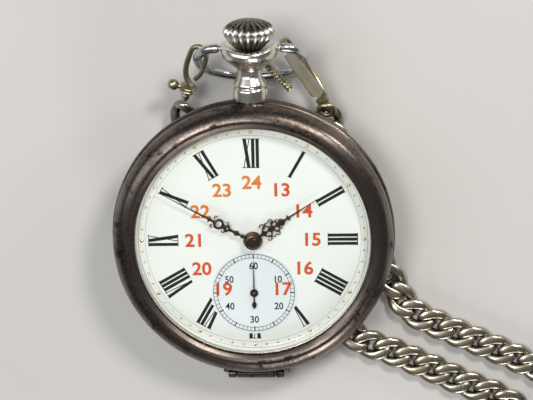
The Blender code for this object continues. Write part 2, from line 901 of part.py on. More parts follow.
def make_screws():
    places = {
        "barrel_bridge_screw_1": (14.6, 1.8),
        "barrel_bridge_screw_2": (14.9, 9.5),
        "train_bridge_screw_1": (14.0, -10.8),
        "train_bridge_screw_2": (-4.4, -16.9),
        "balance_cock_screw": (-15.6, 5.2),
    }
    for name, (x, y) in places.items():
        profile = [(0.0, -3.43), (0.95, -3.43), (0.95, -3.68), (0.8, -3.76), (0.0, -3.76)]
        z = -0.55 if name == "balance_cock_screw" else 0.0
        screw = turned(name, profile, "blued_steel", closed=False, steps=12)
        move_to(screw, (x, y, z))


# ---------------------------------------------------------------- going train


def wheel_with_arbor(name, axis, teeth, module, z, thickness, arbor, phase):
    """A spoked brass wheel on its own steel arbor, whose sections go top to bottom."""
    pitch_r = teeth * module / 2
    rim = pitch_r - 1.9 * module - 0.3
    outlines = [gear_outline(teeth, pitch_r, module, phase), circle(0.52, 12)]
    outlines += spoke_windows(1.2, rim, 4, 0.55)
    wheel = flat_part(f"{name}_wheel", outlines, thickness, "brass", axis)
    move_to(wheel, (0, 0, z))
    shaft = stacked(f"{name}_arbor", arbor, PINION_LEAVES, "steel", axis)
    return wheel, shaft


def mesh_angle(a, b):
    """Direction from axis a to axis b, in degrees."""
    return math.degrees(math.atan2(b[1] - a[1], b[0] - a[0]))


def train_pair(a, b, teeth, leaves):
    """(module, direction from a to b) for a wheel on axis a that drives a pinion on axis b."""
    distance = math.hypot(b[0] - a[0], b[1] - a[1])
    return 2 * distance / (teeth + leaves), mesh_angle(a, b)


def leaf_radii(module, leaves=PINION_LEAVES):
    """Tip and root radius of a pinion."""
    pitch_r = module * leaves / 2
    return pitch_r + 0.6 * module, pitch_r - 0.95 * module


def pinion_turn(direction):
    """Rotation that puts a gap between leaves on the line to the wheel that drives the pinion."""
    return math.radians(direction + 180.0 + 180.0 / PINION_LEAVES)


def make_train(axes):
    barrel_module, to_centre = train_pair(BARREL_AT, (0, 0), BARREL_TEETH, PINION_LEAVES)
    third_module, to_third = train_pair((0, 0), THIRD_AT, CENTRE_TEETH, PINION_LEAVES)
    fourth_module, to_fourth = train_pair(THIRD_AT, FOURTH_AT, THIRD_TEETH, PINION_LEAVES)
    escape_module, to_escape = train_pair(FOURTH_AT, ESCAPE_AT, FOURTH_TEETH, PINION_LEAVES)
    top = (2.9, 0.3, 0.3), (-0.3, 0.3, 0.3), (-0.3, 0.46, 0.46), (-1.25, 0.46, 0.46)
    arbor = arbor_sections(top, leaf_radii(barrel_module), -1.25, -2.2)
    centre = wheel_with_arbor(
        "centre", axes["centre"], CENTRE_TEETH, third_module, -1.0, 0.2, arbor, to_third
    )
    centre[1].rotation_euler.z = pinion_turn(to_centre)
    top = (0.9, 0.24, 0.24), (-0.4, 0.24, 0.24)
    arbor = arbor_sections(top, leaf_radii(third_module), -0.4, -1.5)
    arbor[-2:-2] = [(-1.5, 0.46, 0.46), (-2.3, 0.46, 0.46)]
    third = wheel_with_arbor(
        "third", axes["third"], THIRD_TEETH, fourth_module, -2.0, 0.2, arbor, to_fourth
    )
    third[1].rotation_euler.z = pinion_turn(to_third)
    top = (2.6, 0.2, 0.2), (-0.4, 0.2, 0.2), (-0.4, 0.46, 0.46), (-1.6, 0.46, 0.46)
    arbor = arbor_sections(top, leaf_radii(fourth_module), -1.6, -2.25)
    fourth = wheel_with_arbor(
        "fourth", axes["fourth"], FOURTH_TEETH, escape_module, -1.45, 0.18, arbor, to_escape
    )
    fourth[1].rotation_euler.z = pinion_turn(to_fourth)
    make_escape(axes["escape"], leaf_radii(escape_module), to_escape)


def arbor_sections(top, leaf, leaf_top, leaf_bottom):
    """Sections of an arbor: its own top, then the pinion leaves, then the lower pivot."""
    return [
        *top,
        (leaf_top, *leaf),
        (leaf_bottom, *leaf),
        (leaf_bottom, 0.26, 0.26),
        (-3.2, 0.26, 0.26),
    ]


def make_escape(axis, leaf, from_fourth):
    outline = []
    for i in range(15):
        angle = 24.0 * i
        outline += arc(2.6, angle, angle + 2.0, 1)
        outline += arc(1.95, angle + 6.0, angle + 20.0, 2)
    wheel = flat_part("escape_wheel", [outline, circle(0.42, 12)], 0.2, "steel", axis)
    move_to(wheel, (0, 0, -0.8))
    arbor = [
        (0.9, 0.22, 0.22),
        (-0.5, 0.22, 0.22),
        (-0.5, 0.38, 0.38),
        (-1.2, 0.38, 0.38),
        (-1.2, *leaf),
        (-1.75, *leaf),
        (-1.75, 0.24, 0.24),
        (-3.2, 0.24, 0.24),
    ]
    shaft = stacked("escape_arbor", arbor, PINION_LEAVES, "steel", axis)
    shaft.rotation_euler.z = pinion_turn(from_fourth)


def make_pallets(axis):
    """Anchor with two arms over the escape wheel, on its -Y side, and a fork to the balance."""
    to_escape = mesh_angle(PALLET_AT, ESCAPE_AT)
    lean = math.radians(mesh_angle(PALLET_AT, BALANCE_AT) - to_escape - 90.0)
    fork = [(0.5, -0.3), (3.6, -0.3), (4.5, -0.55), (4.5, -0.2), (4.0, 0.0)]
    fork += [(4.5, 0.2), (4.5, 0.55), (3.6, 0.3), (0.5, 0.3)]
    turned_fork = []
    for along, aside in fork:
        x = along * math.cos(lean) - aside * math.sin(lean)
        y = along * math.sin(lean) + aside * math.cos(lean)
        turned_fork.append((x, y))
    outline = [(0.6, -0.5), (1.35, -0.7), (1.65, -1.15), (2.1, -1.15), (2.0, -0.2), (0.8, 0.1)]
    outline += turned_fork
    outline += [(-0.8, 0.2), (-2.0, -0.2), (-2.1, -1.15), (-1.65, -1.15), (-1.35, -0.7)]
    outline += [(-0.6, -0.5)]
    pallets = flat_mesh("pallet_fork", [outline], 0.2, "steel", axis)
    move_to(pallets, (0, 0, -0.8), (0, 0, math.radians(to_escape + 90.0)))
    staff = local_cutter("pallet_staff", cylinder_mesh("pallet_staff", 0.22, 2.0, 10), axis)
    move_to(staff, (0, 0, -0.2))
    return combine(pallets, staff, "UNION")


def make_balance(axis):
    outlines = [circle(6.6, 32), circle(0.42, 12)]
    outlines += spoke_windows(1.1, 5.7, 2, 0.9)
    wheel = flat_part("balance_wheel", outlines, 0.5, "brass", axis)
    move_to(wheel, (0, 0, -1.85))
    staff = [
        (0.9, 0.2, 0.2),
        (-0.5, 0.2, 0.2),
        (-0.5, 0.36, 0.36),
        (-1.55, 0.36, 0.36),
        (-2.45, 0.36, 0.36),
        (-2.45, 0.22, 0.22),
        (-3.75, 0.22, 0.22),
    ]
    stacked("balance_staff", staff, 6, "steel", axis)
    points = []
    for i in range(4 * 12 + 1):
        angle = 2 * math.pi * i / 12
        radius = 0.75 + 0.5 * i / 12
        points.append((radius * math.cos(angle), radius * math.sin(angle), -2.55))
    spring = wire("hairspring", points, 0.07, "blued_steel", axis)
    spring.data.bevel_resolution = 0
    return wheel


def make_regulator():
    outline = arc(1.15, -50.0, 230.0, 12, BALANCE_AT)
    x, y = BALANCE_AT
    outline += [(x - 0.35, y - 1.3), (x - 0.15, y - 4.6), (x + 0.15, y - 4.6), (x + 0.35, y - 1.3)]
    pointer = flat_part("regulator", [outline, circle(0.5, 12, BALANCE_AT)], 0.2, "steel")
    return move_to(pointer, (0, 0, -4.1))


# ---------------------------------------------------------------- mainspring and winding work


def make_barrel(axis, arbor_axis):
    """Toothed drum, open towards the bridge, with the mainspring coiled round its arbor."""
    module, to_centre = train_pair(BARREL_AT, (0, 0), BARREL_TEETH, PINION_LEAVES)
    teeth = gear_outline(BARREL_TEETH, BARREL_TEETH * module / 2, module, to_centre)
    drum = flat_mesh("barrel", [teeth, circle(0.8, 16)], 0.4, "brass", axis)
    move_to(drum, (0, 0, -1.55))
    ring = [(6.8, -1.6), (6.8, -2.34), (6.4, -2.34), (6.4, -1.6)]
    wall = local_cutter("barrel_wall", screw_mesh("barrel_wall", ring, 28), axis)
    combine(drum, wall, "UNION")
    points = []
    for i in range(4 * 12 + 1):
        angle = 2 * math.pi * i / 12
        radius = 2.0 + 4.1 * i / 48
        points.append((radius * math.cos(angle), radius * math.sin(angle)))
    outline = ribbon_outline(points, 0.22)
    spring = flat_part("mainspring", [outline], 0.5, "blued_steel", axis)
    move_to(spring, (0, 0, -2.05))
    profile = [
        (0.0, -0.6),
        (0.6, -0.6),
        (0.6, -1.8),
        (1.5, -1.8),
        (1.5, -2.34),
        (0.55, -2.34),
        (0.55, -2.95),
        (0.0, -2.95),
    ]
    return turned("barrel_arbor", profile, "steel", closed=False, steps=12, parent=arbor_axis)


def ribbon_outline(points, width):
    """Both edges of a flat strip that follows points."""
    outer = []
    inner = []
    for i, (x, y) in enumerate(points):
        before = points[max(i - 1, 0)]
        after = points[min(i + 1, len(points) - 1)]
        dx = after[0] - before[0]
        dy = after[1] - before[1]
        length = math.hypot(dx, dy)
        outer.append((x + dy / length * width / 2, y - dx / length * width / 2))
        inner.append((x - dy / length * width / 2, y + dx / length * width / 2))
    return outer + inner[::-1]


def make_ratchet_and_crown_wheel(ratchet_axis, crown_axis):
    module, to_crown_wheel = train_pair(BARREL_AT, CROWN_WHEEL_AT, RATCHET_TEETH, CROWN_TEETH)
    phases = (to_crown_wheel, to_crown_wheel + 180.0 + 180.0 / CROWN_TEETH)
    rows = (
        ("ratchet_wheel", "ratchet_screw", ratchet_axis, RATCHET_TEETH, phases[0]),
        ("crown_wheel", "crown_wheel_screw", crown_axis, CROWN_TEETH, phases[1]),
    )
    for name, screw_name, axis, teeth, phase in rows:
        outlines = [gear_outline(teeth, teeth * module / 2, module, phase), circle(0.62, 12)]
        wheel = flat_part(name, outlines, 0.36, "steel", axis)
        move_to(wheel, (0, 0, -2.75))
        profile = [(0.0, -3.0), (1.3, -3.0), (1.3, -3.3), (1.0, -3.45), (0.0, -3.45)]
        turned(screw_name, profile, "blued_steel", closed=False, steps=14, parent=axis)


def make_click(axis):
    outline = [(-0.7, -1.2), (0.9, -1.0), (0.8, 0.4), (0.3, 1.5), (-0.2, 1.5), (-0.8, 0.4)]
    click = flat_part("click", [outline, circle(0.3, 10)], 0.3, "steel", axis)
    return move_to(click, (0, 0, -3.6))


def make_keyless(pinion_axis):
    """Winding pinion and sliding pinion on the square of the stem. Their Z is the watch's Y."""
    winding = [(19.0, 1.3, 1.15), (17.6, 1.3, 1.15), (17.6, 1.65, 1.35), (16.6, 1.65, 1.35)]
    pinion = stacked("winding_pinion", winding, 10, "steel", pinion_axis)
    bore = cylinder_mesh("winding_bore", 0.55, 8.0, 12)
    combine(pinion, local_cutter("winding_bore", bore, pinion_axis), "DIFFERENCE")
    bpy.data.objects["winding_bore"].location.z = 17.5 * MM
    sliding = [(16.4, 1.35, 1.15), (15.6, 1.35, 1.15), (15.6, 0.95, 0.95)]
    sliding += [(14.9, 0.95, 0.95), (14.9, 1.35, 1.15), (14.0, 1.35, 1.15)]
    clutch = stacked("sliding_pinion", sliding, 10, "steel", pinion_axis)
    hole = cylinder_mesh("sliding_bore", 0.52, 8.0, 12)
    combine(clutch, local_cutter("sliding_bore", hole, pinion_axis), "DIFFERENCE")
    bpy.data.objects["sliding_bore"].location.z = 15.2 * MM


# ---------------------------------------------------------------- clasps and chain


def make_right_clasp():
    """Flat swivel clasp: the bow's arc runs between its hinged lever, on top, and its hook, below."""
    along = Vector((6.6, -11.0, 0.0)).normalized()
    across = Vector((-along.y, along.x, 0.0))
    lever = [(6.7, 34.0, -3.1), (8.3, 31.3, -3.75), (10.1, 28.3, -4.8), (12.1, 25.0, -5.8)]
    strap("clasp_right_lever", lever, [1.9, 2.2, 2.2, 2.1], 0.5, across, "nickel")
    hook = [
        (12.5, 24.4, -6.1),
        (13.1, 23.4, -6.9),
        (13.2, 23.2, -8.2),
        (12.6, 24.2, -9.7),
        (10.9, 27.1, -10.8),
        (9.0, 30.2, -10.8),
        (7.2, 33.2, -9.6),
        (6.1, 35.0, -7.5),
        (5.9, 35.4, -5.2),
        (6.2, 34.9, -3.8),
    ]
    widths = [2.1, 2.1, 2.1, 2.1, 1.9, 1.7, 1.6, 1.5, 1.4, 1.3]
    return strap("clasp_right_hook", hook, widths, 0.6, across, "nickel")


def make_toggle_bar():
    """Ribbed bar tucked under the pendant."""
    points = smooth_route([(2.3, 31.0, -7.3), (4.6, 28.2, -7.9), (6.9, 25.6, -8.5)], 4)
    taper = [1.0 + 0.14 * math.cos(math.pi * i) for i in range(len(points))]
    return wire("toggle_bar", points, 0.7, "nickel", None, taper)


def left_hook_route():
    """The hook lies in a plane that leans across the bow's side, so that the bow passes through it."""
    fold = math.radians(BOW_FOLD_DEG)
    along_bow = Vector((0.0, math.cos(fold), -math.sin(fold)))
    held = Vector((-BOW_HALF_WIDTH, PIVOT_Y, STEM_Z)) + along_bow * 5.0
    down = (LEFT_SWIVEL - held).normalized()
    aside = down.cross(along_bow).normalized()
    shape = [(5.6, 0.0), (4.6, -1.0), (2.8, -1.55), (0.4, -1.6), (-1.6, -1.3), (-2.4, 0.0)]
    shape += [(-1.7, 1.3), (0.2, 1.6), (2.6, 1.5), (4.3, 0.75)]
    return [held + down * s + aside * t for s, t in shape], down


def make_left_clasp():
    """Wire swivel clasp: hook round the bow's left side, ball lever, and the swivel collar."""
    route, down = left_hook_route()
    wire("clasp_left_hook", smooth_route(route, 2), 0.55, "nickel")
    ball = bpy.data.meshes.new("clasp_left_ball")
    work = bmesh.new()
    bmesh.ops.create_uvsphere(work, u_segments=10, v_segments=7, radius=1.05 * MM)
    work.to_mesh(ball)
    work.free()
    knob = finish_object(bpy.data.objects.new("clasp_left_knob", ball), "nickel")
    move_to(knob, LEFT_SWIVEL + Vector((-2.6, 1.0, 0.4)))
    profile = [(0.0, 0.9), (1.5, 0.7), (1.2, 0.25), (1.5, -0.2), (0.75, -0.7), (0.7, -2.4)]
    profile += [(0.0, -2.4)]
    collar = turned("clasp_left_swivel", profile, "nickel", closed=False, steps=14)
    return move_to(collar, LEFT_SWIVEL, (-down).to_track_quat("Z", "Y").to_euler())


def chain_route():
    """Centreline on the table, in watch directions from the case centre, in millimetres.

    From the right clasp it runs under the case's right side, out over the table, round a loop and
    back under the case to the left clasp.
    """
    return [
        (13.6, 22.6, 3.0),
        (14.6, 18.6, 1.5),
        (16.2, 12.0, CHAIN_Z),
        (18.6, 4.4, CHAIN_Z),
        (21.6, -2.8, CHAIN_Z),
        (25.2, -9.2, CHAIN_Z),
        (28.4, -14.8, CHAIN_Z),
        (34.0, -18.0, CHAIN_Z),
        (41.6, -21.3, CHAIN_Z),
        (49.0, -24.6, CHAIN_Z),
        (56.4, -28.3, CHAIN_Z),
        (63.6, -32.0, CHAIN_Z),
        (70.4, -36.8, CHAIN_Z),
        (74.6, -43.6, CHAIN_Z),
        (72.4, -50.6, CHAIN_Z),
        (65.4, -51.0, CHAIN_Z),
        (59.2, -45.4, CHAIN_Z),
        (53.0, -37.6, CHAIN_Z),
        (46.0, -32.2, CHAIN_Z),
        (38.6, -29.0, CHAIN_Z),
        (30.8, -25.4, CHAIN_Z),
        (24.2, -22.6, CHAIN_Z),
        (19.0, -20.6, CHAIN_Z),
        (17.2, -16.8, CHAIN_Z),
        (18.8, -11.0, CHAIN_Z),
        (18.0, -5.4, CHAIN_Z),
        (13.0, 0.6, CHAIN_Z),
        (4.6, 5.8, CHAIN_Z),
        (-3.6, 10.6, CHAIN_Z),
        (-9.6, 15.8, CHAIN_Z),
        (-12.2, 19.8, 1.9),
        (-12.9, 23.2, 4.3),
    ]


def make_chain():
    points = smooth_route([(x, y + CENTRE_Y, z) for x, y, z in chain_route()], 2)
    chain = wire("chain", points, CHAIN_R, "nickel")
    chain.parent = None
    return chain


# ---------------------------------------------------------------- assembly


def make_axes(frame):
    """Empties on the joints' axes, each named for what turns on it."""
    turn = (-math.pi / 2, 0.0, 0.0)
    fold = math.radians(-BOW_FOLD_DEG)
    hour = math.radians(-HOUR_HAND_DEG)
    minute = math.radians(-MINUTE_HAND_DEG)
    return {
        "bezel": axis_empty("bezel_axis", frame, (0, HINGE_Y, BEZEL_HINGE_Z)),
        "back": axis_empty("back_axis", frame, (0, HINGE_Y, BACK_HINGE_Z)),
        "inner_cover": axis_empty("inner_cover_axis", frame, (0, HINGE_Y, BACK_HINGE_Z)),
        "bow": axis_empty("bow_axis", frame, (0, PIVOT_Y, STEM_Z), (fold, 0, 0)),
        "stem": axis_empty("stem_axis", frame, (0, 0, STEM_Z), turn),
        "hour": axis_empty("hour_axis", frame, (0, 0, 0), (0, 0, hour)),
        "minute": axis_empty("minute_axis", frame, (0, 0, 0), (0, 0, minute)),
        "minute_gear": axis_empty("minute_gear_axis", frame, (0, 0, 0)),
        "hour_gear": axis_empty("hour_gear_axis", frame, (0, 0, 0)),
        "minute_wheel": axis_empty("minute_wheel_axis", frame, (*MINUTE_WHEEL_AT, 0)),
        "centre": axis_empty("centre_axis", frame, (0, 0, 0)),
        "third": axis_empty("third_axis", frame, (*THIRD_AT, 0)),
        "fourth": axis_empty("fourth_axis", frame, (*FOURTH_AT, 0)),
        "escape": axis_empty("escape_axis", frame, (*ESCAPE_AT, 0)),
        "pallet": axis_empty("pallet_axis", frame, (*PALLET_AT, 0)),
        "balance": axis_empty("balance_axis", frame, (*BALANCE_AT, 0)),
        "barrel": axis_empty("barrel_axis", frame, (*BARREL_AT, 0)),
        "ratchet": axis_empty("ratchet_axis", frame, (*BARREL_AT, 0)),
        "crown_wheel": axis_empty("crown_wheel_axis", frame, (*CROWN_WHEEL_AT, 0)),
        "click": axis_empty("click_axis", frame, (-0.9, 9.4, 0)),
    }


def build_case(axes):
    make_case_middle()
    make_bezel(axes["bezel"])
    make_crystal(axes["bezel"])
    make_back_cover(axes["back"])
    make_inner_cover(axes["inner_cover"])
    make_hinge_pins()
    make_bow(axes["bow"])
    make_crown(axes["stem"])
    make_stem(axes["stem"])
    make_pendant_sleeve(axes["stem"])


def build_dial_side(axes):
    make_dial()
    make_hour_hand(axes["hour"])
    make_minute_hand(axes["minute"])
    make_hand_boss(axes["minute"])
    make_seconds_hand(axes["fourth"])
    make_motion_work(axes["hour_gear"], axes["minute_gear"], axes["minute_wheel"])


def build_movement(axes):
    make_main_plate()
    make_barrel_bridge()
    make_train_bridge()
    make_balance_cock()
    make_screws()
    make_train(axes)
    make_pallets(axes["pallet"])
    make_balance(axes["balance"])
    make_regulator()
    make_barrel(axes["barrel"], axes["barrel"])
    make_ratchet_and_crown_wheel(axes["ratchet"], axes["crown_wheel"])
    make_click(axes["click"])
    make_keyless(axes["stem"])


def build_chain():
    make_right_clasp()
    make_toggle_bar()
    make_left_clasp()
    make_chain()


def main():
    clear_scene()
    Shop.parts = new_collection("pocket_watch")
    Shop.cutters = new_collection("cutters")
    Shop.cutters.hide_render = True
    Shop.materials = make_materials()
    Shop.frame = watch_frame()
    axes = make_axes(Shop.frame)
    build_case(axes)
    build_dial_side(axes)
    build_movement(axes)
    build_chain()


main()
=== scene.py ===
"""Looks of the pocket watch: fine surfaces on the CAD bodies, materials, light and camera."""

import math

import bmesh
import bpy
from mathutils import Matrix, Vector


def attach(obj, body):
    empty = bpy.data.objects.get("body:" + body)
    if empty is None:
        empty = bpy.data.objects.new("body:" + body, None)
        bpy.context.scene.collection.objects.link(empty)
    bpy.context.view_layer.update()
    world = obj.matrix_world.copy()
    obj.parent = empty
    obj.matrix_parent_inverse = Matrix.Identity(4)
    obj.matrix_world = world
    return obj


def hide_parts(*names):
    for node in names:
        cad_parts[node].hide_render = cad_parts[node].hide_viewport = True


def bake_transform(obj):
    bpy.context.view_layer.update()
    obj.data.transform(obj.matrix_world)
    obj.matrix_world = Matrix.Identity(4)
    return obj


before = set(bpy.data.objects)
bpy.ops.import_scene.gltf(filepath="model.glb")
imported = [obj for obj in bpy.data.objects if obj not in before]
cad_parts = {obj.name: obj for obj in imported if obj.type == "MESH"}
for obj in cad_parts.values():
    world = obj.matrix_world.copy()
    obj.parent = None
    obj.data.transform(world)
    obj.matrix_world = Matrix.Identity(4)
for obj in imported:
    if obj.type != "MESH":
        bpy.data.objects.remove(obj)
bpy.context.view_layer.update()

# Places are in millimetres and angles in radians. Those of the watch are from the case's centre,
# with Y towards the crown and Z out of the dial. It rests tilted, on its rounded back and the bow:
# part.py works out both the tilt and the height of the case's centre.
MM = 0.001
TILT = math.radians(10.438921325536281)
LIFT = 8.902348577976227
CENTRE_Y = -7.01
STEM_Z = -0.4
HINGE_Y = -26.5
PIVOT_Y = 35.2
BOW_FOLD = math.radians(123.0)
SECONDS_Y = -10.2
WATCH = Matrix.Translation((0, CENTRE_Y * MM, LIFT * MM)) @ Matrix.Rotation(TILT, 4, "X")
UP = Vector((0, 0, 1))


# ---------------------------------------------------------------- camera, light and floor


def make_camera():
    """A long lens from almost straight above."""
    data = bpy.data.cameras.new("camera")
    data.lens = 150.0
    data.sensor_width = 36.0
    data.clip_start = 0.01
    camera = bpy.data.objects.new("camera", data)
    bpy.context.scene.collection.objects.link(camera)
    back = Vector((0.04267, 0.11153, 0.99284)).normalized()
    right = Vector((0.99905, -0.01317, -0.04146)).normalized()
    up = back.cross(right).normalized()
    turn = Matrix((right, up, back)).transposed().to_4x4()
    at = Vector((19.822, 44.951, 412.475)) * MM
    camera.matrix_world = Matrix.Translation(at) @ turn
    bpy.context.scene.camera = camera


def add_area(name, at, aim, size, power, colour):
    data = bpy.data.lights.new(name, "AREA")
    data.shape = "SQUARE"
    data.size = size
    data.energy = power
    data.color = colour
    light = bpy.data.objects.new(name, data)
    light.location = at
    light.rotation_euler = (Vector(aim) - Vector(at)).to_track_quat("-Z", "Y").to_euler()
    bpy.context.scene.collection.objects.link(light)


def make_light():
    world = bpy.data.worlds.new("studio")
    world.use_nodes = True
    sky = world.node_tree.nodes["Background"].inputs
    sky["Color"].default_value = (0.80, 0.85, 0.92, 1)
    sky["Strength"].default_value = 0.15
    bpy.context.scene.world = world
    bpy.context.scene.view_settings.view_transform = "Standard"
    add_area("key", (0.20, 0.26, 0.40), (0, 0, 0), 0.11, 1.5, (1.0, 0.97, 0.92))
    add_area("fill", (-0.36, 0.10, 0.34), (0, 0, 0), 0.30, 0.6, (0.90, 0.95, 1.0))
    add_area("top", (-0.17, 0.08, 0.60), (0, 0, 0), 0.20, 2.0, (1.0, 0.98, 0.95))
    add_area("front", (0.10, -0.44, 0.16), (0, 0.02, 0), 0.15, 0.9, (1.0, 0.97, 0.93))
    add_area("edge", (0.34, 0.27, 0.17), (0, 0, 0), 0.06, 0.40, (1.0, 0.98, 0.94))


# How far the floor is below the table's level, so that it shares no plane with the watch.
FLOOR_GAP = 0.1


def make_floor():
    mesh = bpy.data.meshes.new("floor")
    mesh.from_pydata([(-1, -1, 0), (1, -1, 0), (1, 1, 0), (-1, 1, 0)], [], [(0, 1, 2, 3)])
    floor = bpy.data.objects.new("floor", mesh)
    floor.location.z = -FLOOR_GAP * MM
    bpy.context.scene.collection.objects.link(floor)
    mesh.materials.append(plain_material("floor", (0.50, 0.49, 0.475), 0.75))


# ---------------------------------------------------------------- materials


class Nodes:
    """Short names for making a node material."""

    def __init__(self, name):
        self.material = bpy.data.materials.new(name)
        self.material.use_nodes = True
        self.tree = self.material.node_tree
        self.shader = self.tree.nodes["Principled BSDF"]
        self.output = self.tree.nodes["Material Output"]
        self.place = self.tree.nodes.new("ShaderNodeTexCoord").outputs["Object"]

    def add(self, kind, links=None, **settings):
        node = self.tree.nodes.new("ShaderNode" + kind)
        for key, value in settings.items():
            setattr(node, key, value)
        for key, value in (links or {}).items():
            socket = node.inputs[key]
            if hasattr(value, "is_linked"):
                self.tree.links.new(value, socket)
            else:
                socket.default_value = value
        return node

    def link(self, output, socket):
        self.tree.links.new(output, socket)

    def noise(self, per_m, detail=4.0, roughness=0.6, stretch=(1, 1, 1)):
        place = self.place
        if stretch != (1, 1, 1):
            place = self.add("Mapping", {"Vector": place, "Scale": stretch}).outputs[0]
        links = {"Vector": place, "Scale": per_m, "Detail": detail, "Roughness": roughness}
        return self.add("TexNoise", links).outputs["Fac"]

    def spread(self, value, low, high, to_low=0.0, to_high=1.0):
        links = {0: value, 1: low, 2: high, 3: to_low, 4: to_high}
        return self.add("MapRange", links).outputs[0]

    def mix(self, factor, first, second):
        node = self.add("Mix", {0: factor}, data_type="RGBA")
        for index, colour in ((6, first), (7, second)):
            if hasattr(colour, "is_linked"):
                self.link(colour, node.inputs[index])
            else:
                node.inputs[index].default_value = (*colour, 1.0)
        return node.outputs[2]

    def calculate(self, operation, a, b):
        return self.add("Math", {0: a, 1: b}, operation=operation).outputs[0]

    def times(self, a, b):
        return self.calculate("MULTIPLY", a, b)

    def plus(self, a, b):
        return self.calculate("ADD", a, b)

    # The per-vertex darkening: mostly painted shade in hollows and between parts, with some dirt.
    def shade_and_dirt(self):
        return self.add("Attribute", attribute_name="shade_and_dirt").outputs["Fac"]

    def bump(self, height, strength, distance_mm):
        links = {"Height": height, "Strength": strength, "Distance": distance_mm * MM}
        self.link(self.add("Bump", links).outputs[0], self.shader.inputs["Normal"])


def plain_material(name, colour, roughness):
    n = Nodes(name)
    tint = n.mix(n.spread(n.noise(9, 3), 0.3, 0.7), [c * 0.97 for c in colour], colour)
    n.link(tint, n.shader.inputs["Base Color"])
    n.shader.inputs["Roughness"].default_value = roughness
    n.bump(n.noise(2200, 2), 0.05, 0.05)
    return n.material


def metal(name, clean, dull, rough, scale=1.0, scratch=0.5, groove=0.0,
          dark=(0.012, 0.01, 0.008)):
    """Worn metal: dulled patches, fine scratches, pits, and, where groove is set, painted shade
    (with some dirt) where the per-vertex darkening is high.
    """
    n = Nodes(name)
    cloud = n.noise(170 * scale, 6, 0.65)
    fine = n.noise(1500 * scale, 3, 0.7)
    lines = n.noise(900 * scale, 2, 0.5, (0.06, 1.6, 1.0))
    cross = n.noise(1100 * scale, 2, 0.5, (1.7, 0.07, 1.0))
    patch = n.times(n.spread(cloud, 0.36, 0.66), n.spread(fine, 0.2, 0.75, 0.65, 1.15))
    colour = n.mix(patch, clean, dull)
    if groove:
        # Painted shade: hollows and gaps between parts go towards dark by the per-vertex darkening
        # times groove.
        shade_and_dirt_mask = n.times(n.times(n.shade_and_dirt(), n.spread(fine, 0.2, 0.7, 0.75, 1.2)), groove)
        colour = n.mix(n.spread(shade_and_dirt_mask, 0.0, 1.0), colour, dark)
    n.link(colour, n.shader.inputs["Base Color"])
    n.shader.inputs["Metallic"].default_value = 1.0
    marks = n.plus(n.spread(lines, 0.55, 0.75), n.spread(cross, 0.55, 0.75))
    base = n.spread(patch, 0.0, 1.0, rough, rough + 0.17)
    n.link(n.plus(base, n.times(marks, 0.10 * scratch)), n.shader.inputs["Roughness"])
    height = n.plus(n.times(cloud, 0.5), n.times(marks, -0.35 * scratch))
    n.bump(n.plus(height, n.times(fine, 0.3)), 0.35 * scratch, 0.03)
    return n.material


def tarnished():
    """Dark silver: a brown sheen with rubbed patches, black spots, and painted shade where the
    per-vertex darkening is high.
    """
    n = Nodes("tarnished_silver")
    cloud = n.noise(95, 5, 0.6)
    blot = n.noise(330, 5, 0.68)
    fine = n.noise(1900, 3, 0.7)
    brown = n.mix(n.spread(cloud, 0.35, 0.68), (0.115, 0.093, 0.080), (0.052, 0.042, 0.036))
    rub = n.spread(n.times(cloud, fine), 0.20, 0.34, 0.6, 0.0)
    rubbed = n.mix(rub, brown, (0.21, 0.172, 0.148))
    spots = n.times(n.spread(blot, 0.555, 0.60), n.spread(cloud, 0.46, 0.56))
    # Painted shade: the bezel's inside goes near black; the knuckles and the pendant's block
    # darken a little.
    shade_and_dirt_mask = n.spread(n.shade_and_dirt(), 0.0, 1.0)
    both = n.calculate("MAXIMUM", n.times(spots, 0.9), shade_and_dirt_mask)
    n.link(n.mix(both, rubbed, (0.016, 0.013, 0.012)), n.shader.inputs["Base Color"])
    n.shader.inputs["Metallic"].default_value = 1.0
    base = n.spread(cloud, 0.3, 0.7, 0.24, 0.36)
    n.link(n.plus(base, n.times(spots, 0.2)), n.shader.inputs["Roughness"])
    height = n.plus(n.times(blot, 0.5), n.times(fine, 0.25))
    n.bump(height, 0.22, 0.04)
    return n.material


def brushed(name, clean, dull, rough, stretch):
    """Fine-grained metal for wheels and steel parts. stretch scales the grain on each axis."""
    n = Nodes(name)
    grain = n.noise(2600, 2, 0.5, stretch)
    cloud = n.noise(260, 5, 0.6)
    tint = n.mix(n.spread(cloud, 0.3, 0.72), clean, dull)
    n.link(n.mix(n.spread(grain, 0.3, 0.7, 0.0, 0.35), tint, dull), n.shader.inputs["Base Color"])
    n.shader.inputs["Metallic"].default_value = 1.0
    n.link(n.spread(grain, 0.2, 0.8, rough, rough + 0.14), n.shader.inputs["Roughness"])
    n.bump(grain, 0.25, 0.012)
    return n.material


def frosted_gilt():
    n = Nodes("frosted_gilt")
    grain = n.noise(5200, 2, 0.5)
    cloud = n.noise(140, 5, 0.6)
    tint = n.mix(n.spread(cloud, 0.3, 0.7), (0.86, 0.64, 0.31), (0.66, 0.45, 0.20))
    n.link(n.mix(n.spread(grain, 0.5, 0.8, 0.0, 0.4), tint, (0.42, 0.28, 0.12)),
           n.shader.inputs["Base Color"])
    n.shader.inputs["Metallic"].default_value = 1.0
    n.link(n.spread(grain, 0.2, 0.8, 0.34, 0.5), n.shader.inputs["Roughness"])
    n.bump(grain, 0.4, 0.02)
    return n.material


